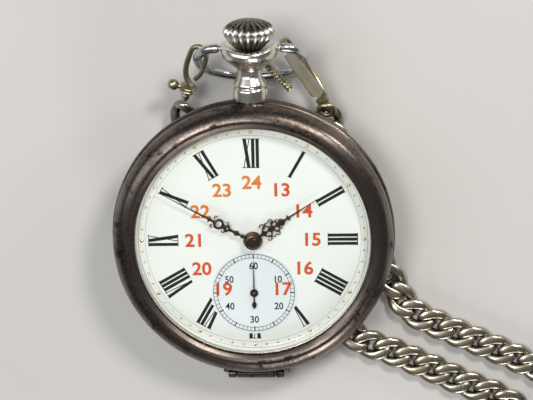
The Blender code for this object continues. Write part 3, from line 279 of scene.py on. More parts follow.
def enamel(name, colour, shade):
    n = Nodes(name)
    cloud = n.noise(60, 4, 0.55)
    speck = n.add("TexVoronoi", {"Vector": n.place, "Scale": 900.0}).outputs["Distance"]
    tint = n.mix(n.spread(cloud, 0.3, 0.7), colour, shade)
    dots = n.times(n.spread(speck, 0.05, 0.09, 1.0, 0.0), n.spread(n.noise(350), 0.6, 0.7))
    n.link(n.mix(n.times(dots, 0.35), tint, (0.35, 0.30, 0.24)), n.shader.inputs["Base Color"])
    n.link(n.spread(n.noise(420, 3), 0.3, 0.7, 0.08, 0.2), n.shader.inputs["Roughness"])
    n.shader.inputs["Coat Weight"].default_value = 0.5
    n.shader.inputs["Coat Roughness"].default_value = 0.06
    n.bump(n.noise(160, 3), 0.06, 0.05)
    return n.material


def paint(name, colour, shade):
    n = Nodes(name)
    tint = n.mix(n.spread(n.noise(1300, 4), 0.35, 0.7), colour, shade)
    n.link(tint, n.shader.inputs["Base Color"])
    n.link(n.spread(n.noise(900, 3), 0.3, 0.7, 0.32, 0.5), n.shader.inputs["Roughness"])
    n.shader.inputs["Specular IOR Level"].default_value = 0.2
    n.bump(n.noise(2600, 2), 0.15, 0.01)
    return n.material


def crystal_glass():
    """Clear watch crystal: mostly see-through, with a reflection that grows at grazing angles."""
    n = Nodes("crystal_clear")
    smear = n.noise(120, 4, 0.6, (1, 0.4, 1))
    rough = n.spread(smear, 0.45, 0.8, 0.02, 0.09)
    clear = n.add("BsdfTransparent", {"Color": (0.975, 0.985, 0.985, 1)})
    gloss = n.add("BsdfGlossy", {"Color": (1, 1, 1, 1), "Roughness": rough})
    facing = n.add("Fresnel", {"IOR": 1.5}).outputs[0]
    both = n.add("MixShader", {0: n.times(facing, 0.2), 1: clear.outputs[0], 2: gloss.outputs[0]})
    n.link(both.outputs[0], n.output.inputs["Surface"])
    return n.material


def make_materials():
    return {
        "case": tarnished(),
        "cover": metal("cover_silver", (0.46, 0.41, 0.37), (0.22, 0.18, 0.16), rough=0.24,
                       scale=0.6, scratch=0.6),
        "inner_cover": metal("inner_cover_silver", (0.80, 0.75, 0.69), (0.55, 0.48, 0.42),
                             rough=0.16, scale=0.6, scratch=0.5),
        # groove darkens the cup's inside: painted shade.
        "pendant": metal("pendant_silver", (0.82, 0.76, 0.68), (0.62, 0.55, 0.48), rough=0.18,
                         scale=0.8, scratch=0.35, groove=1.0),
        "rim": metal("inner_rim_silver", (0.20, 0.165, 0.14), (0.08, 0.064, 0.055), rough=0.26,
                     scale=1.0, scratch=0.4),
        # Painted light: a much brighter copy of the clasps' aged nickel, for the lever.
        "strap": metal("clasp_nickel_painted_bright", (0.98, 0.94, 0.74), (0.86, 0.80, 0.60), rough=0.36,
                       scale=0.6, scratch=0.25),
        # groove and dark give the crown's painted shade in the flutes and at the foot, and its
        # darker top.
        "crown": metal("crown_silver", (0.93, 0.94, 0.89), (0.70, 0.69, 0.62), rough=0.27,
                       scale=1.4, scratch=0.5, groove=1.0, dark=(0.05, 0.035, 0.02)),
        "bow": metal("bow_steel", (0.66, 0.68, 0.70), (0.32, 0.33, 0.35), rough=0.15,
                     scale=1.2, scratch=0.6),
        "nickel": metal("aged_nickel", (0.52, 0.47, 0.33), (0.24, 0.20, 0.12), rough=0.24,
                        scale=1.5, scratch=0.7, groove=1.0),
        # groove and dark give the painted shade between the links.
        "chain": metal("chain_nickel", (0.54, 0.49, 0.40), (0.21, 0.18, 0.13), rough=0.21,
                       scale=1.6, scratch=0.7, groove=1.25, dark=(0.008, 0.006, 0.004)),
        "hands": metal("hand_bronze", (0.135, 0.09, 0.06), (0.052, 0.036, 0.026), rough=0.3,
                       scale=2.5, scratch=0.5),
        "enamel": enamel("white_enamel", (0.90, 0.91, 0.87), (0.86, 0.885, 0.84)),
        # Painted shade: a darker, bluer copy of the white enamel for the sunk seconds dial.
        "enamel_sunk_shaded": enamel("shaded_sunk_enamel", (0.82, 0.86, 0.875), (0.77, 0.82, 0.84)),
        "ink": paint("black_ink", (0.012, 0.012, 0.014), (0.03, 0.028, 0.028)),
        "grey_ink": paint("grey_ink", (0.10, 0.10, 0.105), (0.20, 0.20, 0.20)),
        "red_ink": paint("red_ink", (0.72, 0.10, 0.03), (0.58, 0.09, 0.03)),
        "orange_ink": paint("orange_ink", (0.78, 0.24, 0.04), (0.66, 0.17, 0.03)),
        "gold_paint": metal("gold_dots", (0.93, 0.80, 0.45), (0.75, 0.56, 0.24), rough=0.22,
                            scale=2.0, scratch=0.4),
        "glass": crystal_glass(),
        "gilt": frosted_gilt(),
        "brass": brushed("brass_wheels", (0.82, 0.62, 0.32), (0.55, 0.38, 0.17), rough=0.2,
                         stretch=(1, 1, 1)),
        "steel": brushed("grained_steel", (0.62, 0.63, 0.66), (0.38, 0.38, 0.40), rough=0.18,
                         stretch=(0.2, 2.0, 1)),
        "blue": metal("blued_steel", (0.045, 0.08, 0.30), (0.03, 0.035, 0.14), rough=0.16,
                      scale=2.0, scratch=0.4),
    }


# ---------------------------------------------------------------- shapes


def around(steps):
    """The angles of a full turn in equal steps."""
    return [2 * math.pi * i / steps for i in range(steps)]


def soften(points, reach, steps):
    """Rounds the corners of a closed profile: each becomes a curve that starts reach before it."""
    made = []
    for i, point in enumerate(points):
        here = Vector(point)
        before = Vector(points[i - 1])
        after = Vector(points[(i + 1) % len(points)])
        a = here + (before - here).normalized() * min(reach, (before - here).length * 0.45)
        b = here + (after - here).normalized() * min(reach, (after - here).length * 0.45)
        for step in range(steps + 1):
            t = step / steps
            made.append(a * (1 - t) ** 2 + here * (2 * t * (1 - t)) + b * t * t)
    return made


def smooth_route(points, per_span):
    """Catmull-Rom points through a route."""
    route = [Vector(point) for point in points]
    ends = [2 * route[0] - route[1], *route, 2 * route[-1] - route[-2]]
    made = []
    for i in range(len(route) - 1):
        a, b, c, d = ends[i : i + 4]
        for step in range(per_span):
            t = step / per_span
            cubic = (2 * a - 5 * b + 4 * c - d) * t * t + (3 * b - a - 3 * c + d) * t**3
            made.append(0.5 * (2 * b + (c - a) * t + cubic))
    made.append(route[-1])
    return made


class Form:
    """Vertices in millimetres, faces, and for each vertex a darkening value: mostly painted shade
    in hollows and between parts, with some dirt.
    """

    def __init__(self):
        self.verts, self.faces, self.shade_and_dirt = [], [], []

    def ring_strip(self, rings, shade_and_dirt_values, caps=(False, False), loop=False):
        """Joins closed rings of the same count: caps closes the ends, loop joins last to first."""
        start = len(self.verts)
        size = len(rings[0])
        for ring, value in zip(rings, shade_and_dirt_values):
            self.verts += [Vector(p) for p in ring]
            self.shade_and_dirt += value if isinstance(value, list) else [value] * size
        last = len(rings) if loop else len(rings) - 1
        for i in range(last):
            low, high = start + i * size, start + ((i + 1) % len(rings)) * size
            for j in range(size):
                k = (j + 1) % size
                self.faces.append((low + j, low + k, high + k, high + j))
        if caps[0]:
            self.faces.append(tuple(reversed(range(start, start + size))))
        if caps[1]:
            end = start + (len(rings) - 1) * size
            self.faces.append(tuple(range(end, end + size)))
        return self

    def lathe(self, profile, steps, centre=(0, 0), closed=True, along_y=False, scallop=None):
        """Turns a profile of (radius, height) about Z or, with along_y, about the crown's stem.

        scallop(radius, height, angle) gives each vertex its own (radius, darkening, lift); the
        darkening is mostly painted shade, with some dirt.
        """
        rings, shade_and_dirt_values = [], []
        for r, h in profile:
            ring, values = [], []
            for a in around(steps):
                radius, value, lift = scallop(r, h, a) if scallop else (r, 0.0, 0.0)
                x, y = radius * math.cos(a), radius * math.sin(a)
                at = h + lift
                ring.append((x, at, STEM_Z - y) if along_y else (centre[0] + x, centre[1] + y, at))
                values.append(value)
            rings.append(ring)
            shade_and_dirt_values.append(values)
        caps = (not closed and profile[0][0] > 0, not closed and profile[-1][0] > 0)
        return self.ring_strip(rings, shade_and_dirt_values, caps, closed)

    def sweep(self, route, section, side=None, loop=False):
        """Sweeps section(t) -> [(along side, along normal)] down a route, t being 0 to 1."""
        rings = []
        count = len(route)
        normal = None
        for i, point in enumerate(route):
            if loop:
                tangent = (route[(i + 1) % count] - route[i - 1]).normalized()
            else:
                tangent = (route[min(i + 1, count - 1)] - route[max(i - 1, 0)]).normalized()
            if side is not None:
                across = side.normalized()
                normal = tangent.cross(across).normalized()
            else:
                start = normal or (UP if abs(tangent.z) < 0.9 else Vector((1, 0, 0)))
                normal = (start - tangent * start.dot(tangent)).normalized()
                across = normal.cross(tangent).normalized()
            spots = section(i / (count - 1))
            rings.append([point + across * a + normal * b for a, b in spots])
        return self.ring_strip(rings, [0.0] * count, (not loop, not loop), loop)

    def tube(self, route, radius, sides=16, loop=False):
        """A round tube down a route. Its radius is a number, or a function of t."""
        size = radius if callable(radius) else (lambda t: radius)

        def section(t):
            return [(size(t) * math.cos(a), size(t) * math.sin(a)) for a in around(sides)]

        return self.sweep([Vector(p) for p in route], section, loop=loop)

    def block(self, centre, size, shade_and_dirt=0.0):
        x, y, z = (value / 2 for value in size)
        corners = [(-x, -y), (x, -y), (x, y), (-x, y)]
        rings = [[(centre[0] + a, centre[1] + b, centre[2] + h) for a, b in corners]
                 for h in (-z, z)]
        return self.ring_strip(rings, [shade_and_dirt, shade_and_dirt], (True, True))

    def knuckle(self, x, length, z, root_z, reach=1.6, radius=0.8):
        """A hinge knuckle on the hinge line, with its ends eased, and the root that holds it."""
        # The knuckle and its root get a little of the per-vertex darkening.
        half, ease, small, shade_and_dirt = length / 2, 0.12, 0.72, 0.35
        ends = [(x - half, small), (x - half + ease, 1.0), (x + half - ease, 1.0),
                (x + half, small)]
        rings = [[(at, HINGE_Y + radius * grow * math.cos(a), z + radius * grow * math.sin(a))
                  for a in around(20)] for at, grow in ends]
        self.ring_strip(rings, [shade_and_dirt] * 4, (True, True))
        return self.block((x, HINGE_Y + reach / 2 + 0.1, root_z), (length, reach, 0.7), shade_and_dirt)

    def make(self, name, material, body, replaces=(), slot=None, sharp=38.0, bevel=0.0,
             place=WATCH):
        """Makes the piece, rides it on its body and hides the CAD parts that it replaces. slot is
        not used.
        """
        mesh = bpy.data.meshes.new(name)
        mesh.from_pydata([place @ (v * MM) for v in self.verts], [], self.faces)
        # The per-vertex darkening that the materials read: mostly painted shade, with some dirt.
        attribute = mesh.attributes.new("shade_and_dirt", "FLOAT", "POINT")
        attribute.data.foreach_set("value", self.shade_and_dirt)
        obj = bpy.data.objects.new(name, mesh)
        bpy.context.scene.collection.objects.link(obj)
        tidy_mesh(mesh, sharp)
        mesh.materials.append(MATERIALS[material])
        if bevel:
            add_bevel(obj, bevel)
        return place_on(obj, body, replaces)


def tidy_mesh(mesh, sharp):
    work = bmesh.new()
    work.from_mesh(mesh)
    bmesh.ops.remove_doubles(work, verts=work.verts, dist=1e-7)
    bmesh.ops.recalc_face_normals(work, faces=work.faces)
    work.to_mesh(mesh)
    work.free()
    mesh.shade_smooth()
    mesh.set_sharp_from_angle(angle=math.radians(sharp))


def add_bevel(obj, width_mm):
    bevel = obj.modifiers.new("edge", "BEVEL")
    bevel.width = width_mm * MM
    bevel.segments = 2
    bevel.limit_method = "ANGLE"
    bevel.angle_limit = math.radians(35)
    bevel.harden_normals = False


def place_on(obj, body, replaces):
    """Rides a piece on its body and hides the CAD parts it replaces. body is None for the chain,
    which rides on no body.
    """
    if body is not None:
        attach(obj, body)
    if replaces:
        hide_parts(*replaces)
    return obj


# ---------------------------------------------------------------- chain


# The middle of the chain, from clasp to clasp. Heights are above the table.
CHAIN_Z = 1.12
CHAIN_ROUTE = (
    (13.6, 22.6, 3.0), (14.6, 18.6, 1.5), (16.2, 12.0, CHAIN_Z), (18.6, 4.4, CHAIN_Z),
    (21.6, -2.8, CHAIN_Z), (25.2, -9.2, CHAIN_Z), (28.4, -14.8, CHAIN_Z), (34.0, -18.0, CHAIN_Z),
    (41.6, -21.3, CHAIN_Z), (49.0, -24.6, CHAIN_Z), (56.4, -28.3, CHAIN_Z),
    (63.6, -32.0, CHAIN_Z), (70.4, -36.8, CHAIN_Z), (74.6, -43.6, CHAIN_Z),
    (72.4, -50.6, CHAIN_Z), (65.4, -51.0, CHAIN_Z), (59.2, -45.4, CHAIN_Z),
    (53.0, -37.6, CHAIN_Z), (46.0, -32.2, CHAIN_Z), (38.6, -29.0, CHAIN_Z),
    (30.8, -25.4, CHAIN_Z), (24.2, -22.6, CHAIN_Z), (19.0, -20.6, CHAIN_Z),
    (17.2, -16.8, CHAIN_Z), (18.8, -11.0, CHAIN_Z), (18.0, -5.4, CHAIN_Z), (13.0, 0.6, CHAIN_Z),
    (4.6, 5.8, CHAIN_Z), (-3.6, 10.6, CHAIN_Z), (-9.6, 15.8, CHAIN_Z), (-12.2, 19.8, 1.9),
    (-12.9, 23.2, 4.3),
)
# A link: half its length and half its width along the wire's middle, the wire's radius, the twist
# at each end in radians, and half the height that it is pressed flat to.
LINK_PITCH = 4.05
LINK_HALF = 2.95
LINK_WIDE = 1.84
LINK_WIRE = 0.92
LINK_TWIST = -0.95
LINK_HIGH = 1.08


def even_steps(route, pitch):
    """Points and tangents along a route, a whole number of nearly equal pitches apart."""
    lengths = [0.0]
    for a, b in zip(route, route[1:]):
        lengths.append(lengths[-1] + (b - a).length)
    count = round(lengths[-1] / pitch)
    made = []
    at = 0
    for k in range(count):
        s = (k + 0.5) * lengths[-1] / count
        while lengths[at + 1] < s:
            at += 1
        t = (s - lengths[at]) / (lengths[at + 1] - lengths[at])
        made.append((route[at].lerp(route[at + 1], t), (route[at + 1] - route[at]).normalized()))
    return made


def curb_link(form, centre, tangent, sides=12, steps=36):
    """A curb link: an oval ring whose two ends twist opposite ways, so that neighbours nest."""
    up = (UP - tangent * UP.dot(tangent)).normalized()
    across = up.cross(tangent).normalized()
    line = []
    for a in around(steps):
        along = LINK_HALF * math.copysign(abs(math.cos(a)) ** 0.86, math.cos(a))
        wide = LINK_WIDE * math.copysign(abs(math.sin(a)) ** 0.9, math.sin(a))
        turn = LINK_TWIST * along / LINK_HALF
        line.append(Vector((along, wide * math.cos(turn), wide * math.sin(turn))))
    rings, shade_and_dirt_values = [], []
    for i, point in enumerate(line):
        ahead = (line[(i + 1) % steps] - line[i - 1]).normalized()
        outward = (point - ahead * point.dot(ahead)).normalized()
        other = ahead.cross(outward).normalized()
        ring, values = [], []
        for a in around(sides):
            spot = point + (outward * math.cos(a) + other * math.sin(a)) * LINK_WIRE
            spot.z = LINK_HIGH * math.tanh(spot.z / LINK_HIGH * 1.05)
            ring.append(centre + tangent * spot.x + across * spot.y + up * spot.z)
            # Painted shade: the wire's inner side, where the next links nest, and the low parts of
            # the link's ends, under its neighbours.
            ends = max(0.0, abs(point.x) / LINK_HALF - 0.35)
            values.append(max(0.0, -math.cos(a)) * 0.75 + 0.5 * ends * max(0.0, 0.4 - spot.z))
        rings.append(ring)
        shade_and_dirt_values.append(values)
    form.ring_strip(rings, shade_and_dirt_values, loop=True)


def make_chain():
    route = [Vector((x, y + CENTRE_Y, z)) for x, y, z in CHAIN_ROUTE]
    fine = smooth_route(route, 12)
    form = Form()
    for centre, tangent in even_steps(fine, LINK_PITCH):
        curb_link(form, centre, tangent)
    links = form.make("curb_chain", "chain", None, ("chain",), "nickel", 60.0,
                      place=Matrix.Identity(4))
    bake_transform(links)


# ---------------------------------------------------------------- case


def dome(flat_r, rim_r, rim_z, depth_z, steps=14):
    """One face of a cover, from its flat middle out to its rim."""
    span, drop = rim_r - flat_r, rim_z - depth_z
    shares = [i / steps for i in range(steps + 1)]
    return [(flat_r + span * t, rim_z - drop * (1.0 - t**2.3) ** 0.69) for t in shares]


def cover(flat_r, rim_r, rim_z, depth_z, wall):
    """The profile of a thin domed cover: its inside, then its outside back to the axis."""
    outer = dome(flat_r, rim_r, rim_z, depth_z)
    inner = dome(flat_r, rim_r - wall, rim_z, depth_z + wall)
    return [(0.0, depth_z + wall), *inner, *reversed(outer), (0.0, depth_z)]


def make_case():
    band = [(25.1, 1.0), (25.85, 0.45), (26.0, -0.25), (25.85, -0.95), (25.1, -1.5),
            (24.5, -1.5), (22.0, -0.9), (22.0, 1.0)]
    form = Form().lathe(soften(band, 0.3, 4), 180)
    # The block under the pendant gets a little of the per-vertex darkening.
    form.block((0, 25.3, -0.25), (6.0, 2.4, 1.9), 0.3)
    for side in (-1, 1):
        form.knuckle(side * 5.4, 1.6, -1.65, -1.1)
        form.knuckle(side * 4.4, 1.6, 1.1, 0.6)
    form.make("case_band", "case", "case", ("case_middle",), "case_silver", bevel=0.12)
    cup = [(4.6, 36.5), (5.2, 36.2), (5.3, 35.1), (4.9, 33.7), (3.3, 32.3), (2.3, 31.5),
           (2.2, 30.2), (3.05, 28.6), (2.75, 28.2), (3.1, 27.8), (3.1, 25.6), (0.75, 25.6),
           (0.75, 34.0), (2.6, 34.1), (4.2, 35.9)]

    def saddle(r, h, a):
        """Darkens the cup's inside with painted shade, and lowers its lip at the front and back by
        up to 1.15 mm.
        """
        dark = 1.0 if r < 4.0 and h > 33.8 else 0.0
        if r <= 1.0:
            return r, dark, 0.0
        front = abs(math.sin(a)) ** 1.6
        return r, dark, -1.15 * front * max(0.0, min(1.0, (h - 33.6) / 2.4))

    form = Form().lathe(soften(cup, 0.3, 5), 96, along_y=True, scallop=saddle)
    form.make("pendant", "pendant", "case", (), "case_silver")


def make_bezel():
    outer = smooth_route([(22.25, 5.28), (22.75, 5.44), (23.3, 5.4), (24.1, 5.05), (24.75, 4.5),
                          (25.2, 3.8), (25.55, 2.9), (25.63, 2.1), (25.55, 1.4), (25.45, 1.08)], 4)
    inner = [(22.75, 1.08), (22.75, 3.2), (21.72, 3.5), (21.72, 3.98), (22.2, 4.02),
             (22.2, 4.62), (21.55, 4.72)]

    def shaded_inside(r, h, a):
        # Painted shade: the bezel's inner wall and crystal seat, under the crystal, are darkened
        # 0.9.
        return r, 0.9 if r < 22.3 and h < 4.9 else 0.0, 0.0

    form = Form().lathe([*outer, *inner], 240, scallop=shaded_inside)
    form.knuckle(0.0, 7.0, 1.1, 1.5, 1.4)
    form.make("bezel_ring", "case", "bezel", ("bezel",), "case_silver", 50.0)
    lip = [(22.16, 5.2), (22.28, 5.33), (22.42, 5.36), (22.36, 5.2)]
    slope = [(22.3, 5.3), (22.22, 5.34), (21.56, 4.82), (21.52, 4.72), (21.6, 4.72)]
    inside = [(21.7, 3.95), (21.7, 3.45), (21.95, 2.34), (21.72, 2.34), (21.42, 3.4),
              (21.4, 3.95)]
    for name, looks, profile, reach in (("bezel_lip", "rim", lip, 0.05),
                                        ("bezel_chamfer", "rim", slope, 0.05),
                                        ("dial_ring", "pendant", inside, 0.06)):
        Form().lathe(soften(profile, reach, 2), 200).make(name, looks, "bezel", (), "case_silver")
    glass = smooth_route([(0.0, 6.04), (6.0, 5.95), (12.0, 5.64), (17.0, 5.2), (21.3, 4.62)], 5)
    under = smooth_route([(21.9, 4.2), (17.0, 4.68), (12.0, 5.06), (6.0, 5.36), (0.0, 5.46)], 5)
    form = Form().lathe([*glass, (21.9, 4.5), *under], 160, closed=False)
    form.make("crystal_dome", "glass", "bezel", ("crystal",), "crystal_glass")


def make_covers():
    back = Form().lathe(cover(10.0, 25.7, -1.54, -6.5, 0.5), 180, closed=False)
    for side in (-1, 1):
        back.knuckle(side * 3.4, 2.0, -1.65, -2.1)
    back.make("back_shell", "cover", "back_cover", ("back_cover",), "cover_silver")
    inner = Form().lathe(cover(9.0, 24.35, -1.75, -5.5, 0.3), 180, closed=False)
    inner.block((0, -25.2, -2.02), (3.8, 2.9, 0.45))
    inner.knuckle(0.0, 3.8, -1.65, -1.85, 1.2, 0.7)
    inner.make("inner_shell", "inner_cover", "inner_cover", ("inner_cover",), "cover_silver")


# ---------------------------------------------------------------- crown, bow and clasps


def make_crown():
    shape = [(40.55, 0.001), (40.5, 1.0), (40.25, 2.3), (39.75, 3.5), (39.15, 4.3), (38.6, 4.68),
             (38.1, 4.7), (37.4, 4.4), (36.6, 3.8), (35.8, 3.05), (35.1, 2.3), (34.75, 1.6)]
    profile = [(r, h) for h, r in smooth_route(shape, 4)]
    flutes = 20

    def flute(r, h, a):
        """Cuts the flutes; darkens the flute grooves and the foot, where it goes into the pendant,
        with painted shade, and darkens the crown's top.
        """
        depth = min(1.0, r / 3.6) * (0.14 if h < 39.2 else 0.085)
        wave = 0.5 + 0.5 * math.cos(flutes * a)
        top = min(1.0, max(0.0, (h - 38.75) / 0.5)) * 0.76
        # groove and low are painted shade: in the flute grooves and at the foot inside the
        # pendant's cup.
        groove = (1.0 - wave) ** 1.5
        low = 0.55 * min(1.0, max(0.0, (35.9 - h) / 0.8))
        return r * (1.0 - depth * groove), min(1.0, top + 0.75 * groove + low), 0.0

    form = Form().lathe(profile, 240, closed=False, along_y=True, scallop=flute)
    form.make("crown_onion", "crown", "crown", ("crown",), "bright_silver", 60.0)


def bow_frame():
    """The bow's own place: its pivots, with Y along the folded bow."""
    pivots = Matrix.Translation(Vector((0, PIVOT_Y, STEM_Z)) * MM)
    return WATCH @ pivots @ Matrix.Rotation(-BOW_FOLD, 4, "X")


def make_bow():
    half = [(4.45, 0.0), (5.45, 0.0), (6.9, 0.2), (8.5, 1.5), (9.65, 4.8), (9.35, 8.6),
            (7.5, 12.1), (4.3, 14.4), (0.0, 15.2)]
    whole = half + [(-x, y) for x, y in reversed(half[:-1])]
    route = smooth_route([(x, y, 0.0) for x, y in whole], 8)

    def radius(t):
        """The wire's radius, thinner where its ends go into the pendant."""
        point = route[round(t * (len(route) - 1))]
        inside = max(0.0, min(1.0, (5.75 - abs(point.x)) / 0.35)) if point.y < 1.0 else 0.0
        return 0.85 - 0.34 * inside

    Form().tube(route, radius, 24).make("bow_ring", "bow", "bow", ("bow",), "bright_silver",
                                        place=bow_frame())


def strap(form, route, widths, thick, across, crown=0.12):
    """A flat bar with rounded edges and slightly domed faces."""

    def section(t):
        w = widths(t) / 2
        h = thick / 2
        return [(-w, -h * 0.5), (-w * 0.8, -h), (0, -h - crown * 0.3), (w * 0.8, -h),
                (w, -h * 0.5), (w, h * 0.5), (w * 0.8, h), (0, h + crown * 0.3),
                (-w * 0.8, h), (-w, h * 0.5)]

    return form.sweep(route, section, side=across)


def make_right_clasp():
    along = Vector((6.6, -11.0, 0.0)).normalized()
    across = Vector((-along.y, along.x, 0.0))
    lever = smooth_route([(6.95, 33.6, -3.2), (8.3, 31.3, -3.75), (10.1, 28.3, -4.8),
                          (11.6, 25.8, -5.55), (12.3, 24.7, -5.95)], 8)
    form = Form()
    strap(form, lever, lambda t: min(2.35, 2.05 + 0.5 * t, 0.5 + 9.0 * (1.0 - t)), 0.42, across,
          0.03)
    # The lever gets the brighter, painted-light copy of the nickel.
    form.make("lever_right", "strap", "clasp_right_lever", ("clasp_right_lever",), "nickel",
              24.0)
    hook = smooth_route([(12.5, 24.4, -6.1), (13.1, 23.4, -6.9), (13.2, 23.2, -8.2),
                         (12.6, 24.2, -9.7), (10.9, 27.1, -10.8), (9.0, 30.2, -10.8),
                         (7.2, 33.2, -9.6), (6.1, 35.0, -7.5), (5.9, 35.4, -5.2),
                         (6.2, 34.9, -3.8)], 6)
    form = Form()
    strap(form, hook, lambda t: 2.1 - 0.75 * t, 0.55, across)
    eye = Vector((13.6, 21.9, -6.9))
    ring = [eye + Vector((1.5 * math.cos(a), 1.15 * math.sin(a), 0.9 * math.sin(a)))
            for a in around(28)]
    form.tube(ring, 0.42, 12, loop=True)
    form.make("hook_right", "nickel", "bow", ("clasp_right_hook",), "nickel", 30.0)


def make_left_clasp():
    swivel = Vector((-11.75, 26.2, -6.7))
    along_bow = Vector((0.0, math.cos(BOW_FOLD), -math.sin(BOW_FOLD)))
    held = Vector((-9.65, PIVOT_Y, STEM_Z)) + along_bow * 5.0
    down = (swivel - held).normalized()
    aside = down.cross(along_bow).normalized()
    shape = [(5.6, 0.0), (4.6, -1.0), (2.8, -1.55), (0.4, -1.6), (-1.6, -1.3), (-2.4, 0.0)]
    shape += [(-1.7, 1.3), (0.2, 1.6), (2.6, 1.5), (4.3, 0.75)]
    route = smooth_route([held + down * s + aside * t for s, t in shape], 6)
    form = Form().tube(route, lambda t: 0.55 - 0.1 * t)
    form.make("hook_left", "nickel", "bow", ("clasp_left_hook",), "nickel")
    turn = (-down).to_track_quat("Z", "Y").to_matrix().to_4x4()
    collar = [(0.001, 0.9), (0.8, 0.88), (1.42, 0.7), (1.5, 0.55), (1.15, 0.3), (1.1, 0.18),
              (1.42, 0.0), (1.5, -0.2), (1.35, -0.42), (0.8, -0.7), (0.72, -1.0), (0.85, -1.4),
              (0.72, -1.9), (0.55, -2.35), (0.001, -2.4)]
    form = Form().lathe(smooth_route(collar, 3), 40, closed=False)
    form.make("swivel_left", "nickel", "bow", ("clasp_left_swivel",), "nickel",
              place=WATCH @ Matrix.Translation(swivel * MM) @ turn)
    bands = [math.pi / 2 - math.pi * i / 14 for i in range(15)]
    ball = [(max(0.001, 1.05 * math.cos(a)), 1.05 * math.sin(a)) for a in bands]
    form = Form().lathe(ball, 28, closed=False)
    form.tube([(0.6, -0.23, -0.09), (1.2, -0.46, -0.18), (2.0, -0.77, -0.31)], 0.42, 14)
    form.make("knob_left", "nickel", "bow", ("clasp_left_knob",), "nickel",
              place=WATCH @ Matrix.Translation((swivel + Vector((-2.6, 1.0, 0.4))) * MM))
    bar = smooth_route([(2.3, 31.0, -7.3), (4.6, 28.2, -7.9), (6.9, 25.6, -8.5)], 36)
    ribs = 10
    form = Form().tube(bar, lambda t: 0.66 + 0.12 * math.cos(2 * math.pi * ribs * t))
    form.make("bar_ribbed", "nickel", "bow", ("toggle_bar",), "nickel")


# ---------------------------------------------------------------- dial


def mesh_from(curve):
    """The mesh that a curve or a text makes. The curve itself is removed."""
    raw = bpy.data.objects.new(curve.name + "_outline", curve)
    bpy.context.scene.collection.objects.link(raw)
    bpy.context.view_layer.update()
    shape = raw.evaluated_get(bpy.context.evaluated_depsgraph_get())
    mesh = bpy.data.meshes.new_from_object(shape)
    bpy.data.objects.remove(raw)
    bpy.data.curves.remove(curve)
    return mesh


def flat(name, outlines, z, thick, body, replaces, turn=0.0, at=(0, 0), bevel=0.0):
    """A flat bronze hand from outlines in millimetres. Outlines inside the first are holes."""
    curve = bpy.data.curves.new(name, "CURVE")
    curve.dimensions = "2D"
    curve.fill_mode = "BOTH"
    curve.extrude = (thick / 2 - bevel) * MM
    curve.bevel_depth = bevel * MM
    curve.bevel_resolution = 1
    curve.offset = -bevel * MM
    for points in outlines:
        spline = curve.splines.new("POLY")
        spline.points.add(len(points) - 1)
        for target, (x, y) in zip(spline.points, points):
            target.co = (x * MM, y * MM, 0.0, 1.0)
        spline.use_cyclic_u = True
    mesh = mesh_from(curve)
    move = WATCH @ Matrix.Translation(Vector((*at, z)) * MM) @ Matrix.Rotation(turn, 4, "Z")
    mesh.transform(move)
    mesh.name = name
    obj = bpy.data.objects.new(name, mesh)
    bpy.context.scene.collection.objects.link(obj)
    tidy_mesh(mesh, 38.0)
    mesh.materials.clear()
    mesh.materials.append(MATERIALS["hands"])
    place_on(obj, body, replaces)


def oval(x, y, rx, ry, steps=20):
    return [(x + rx * math.cos(a), y + ry * math.sin(a)) for a in around(steps)]


def circle(radius, steps):
    return oval(0, 0, radius, radius, steps)


DIAL_Z = 2.3
INK_LOW = 2.295
INK_HIGH = 2.325
SECONDS_INK_HIGH = 2.345


def ink_strip(form, a, b, wide_a, wide_b, keep=None, pieces=1):
    """A raised bar of ink from a to b. Pieces whose two ends aren't kept are left out."""
    side = Vector((-(b - a).y, (b - a).x)).normalized()
    for i in range(pieces):
        t0, t1 = i / pieces, (i + 1) / pieces
        p, q = a.lerp(b, t0), a.lerp(b, t1)
        if keep and not (keep(*p) and keep(*q)):
            continue
        w0 = (wide_a + (wide_b - wide_a) * t0) / 2
        w1 = (wide_a + (wide_b - wide_a) * t1) / 2
        corners = [p + side * w0, p - side * w0, q - side * w1, q + side * w1]
        rings = [[(c.x, c.y, z) for c in corners] for z in (INK_LOW, INK_HIGH)]
        form.ring_strip(rings, [0.0, 0.0], (True, True))


NUMERALS = ("XII", "I", "II", "III", "IIII", "V", "VI", "VII", "VIII", "IX", "X", "XI")
NUMERAL_FOOT, NUMERAL_HEAD = 13.75, 19.05
SERIF, SERIF_OUT = 0.13, 0.04
# For each letter: its width, its strokes as (x, height, x, height, width, width) and its serifs
# as (x, half length), all from the letter's middle.
LETTERS = {
    "I": (0.80, [(0.0, NUMERAL_FOOT, 0.0, NUMERAL_HEAD, 0.56, 0.60)], [(0.0, 0.40)]),
    "V": (1.5, [(-0.36, NUMERAL_HEAD, 0.1, NUMERAL_FOOT, 0.62, 0.5),
                (0.55, NUMERAL_HEAD, 0.14, NUMERAL_FOOT, 0.15, 0.15)],
          [(-0.36, 0.42), (0.5, 0.28)]),
    "X": (1.5, [(-0.38, NUMERAL_HEAD, 0.38, NUMERAL_FOOT, 0.62, 0.62),
                (0.5, NUMERAL_HEAD, -0.5, NUMERAL_FOOT, 0.15, 0.15)],
          [(-0.36, 0.44), (0.4, 0.36)]),
}


def outside_seconds(x, y):
    return math.hypot(x, y - SECONDS_Y) > 7.95


def letter_bars(letter, mid):
    """The bars of ink that draw one letter: (x, height, x, height, width, width)."""
    strokes, serifs = LETTERS[letter][1:]
    bars = [(mid + x0, y0, mid + x1, y1, w0, w1) for x0, y0, x1, y1, w0, w1 in strokes]
    for x, half in serifs:
        ends = [NUMERAL_HEAD + SERIF_OUT]
        if letter != "V":
            ends.append(NUMERAL_FOOT - SERIF_OUT)
        for y in ends:
            bars.append((mid + x - half, y, mid + x + half, y, SERIF, SERIF))
    return bars


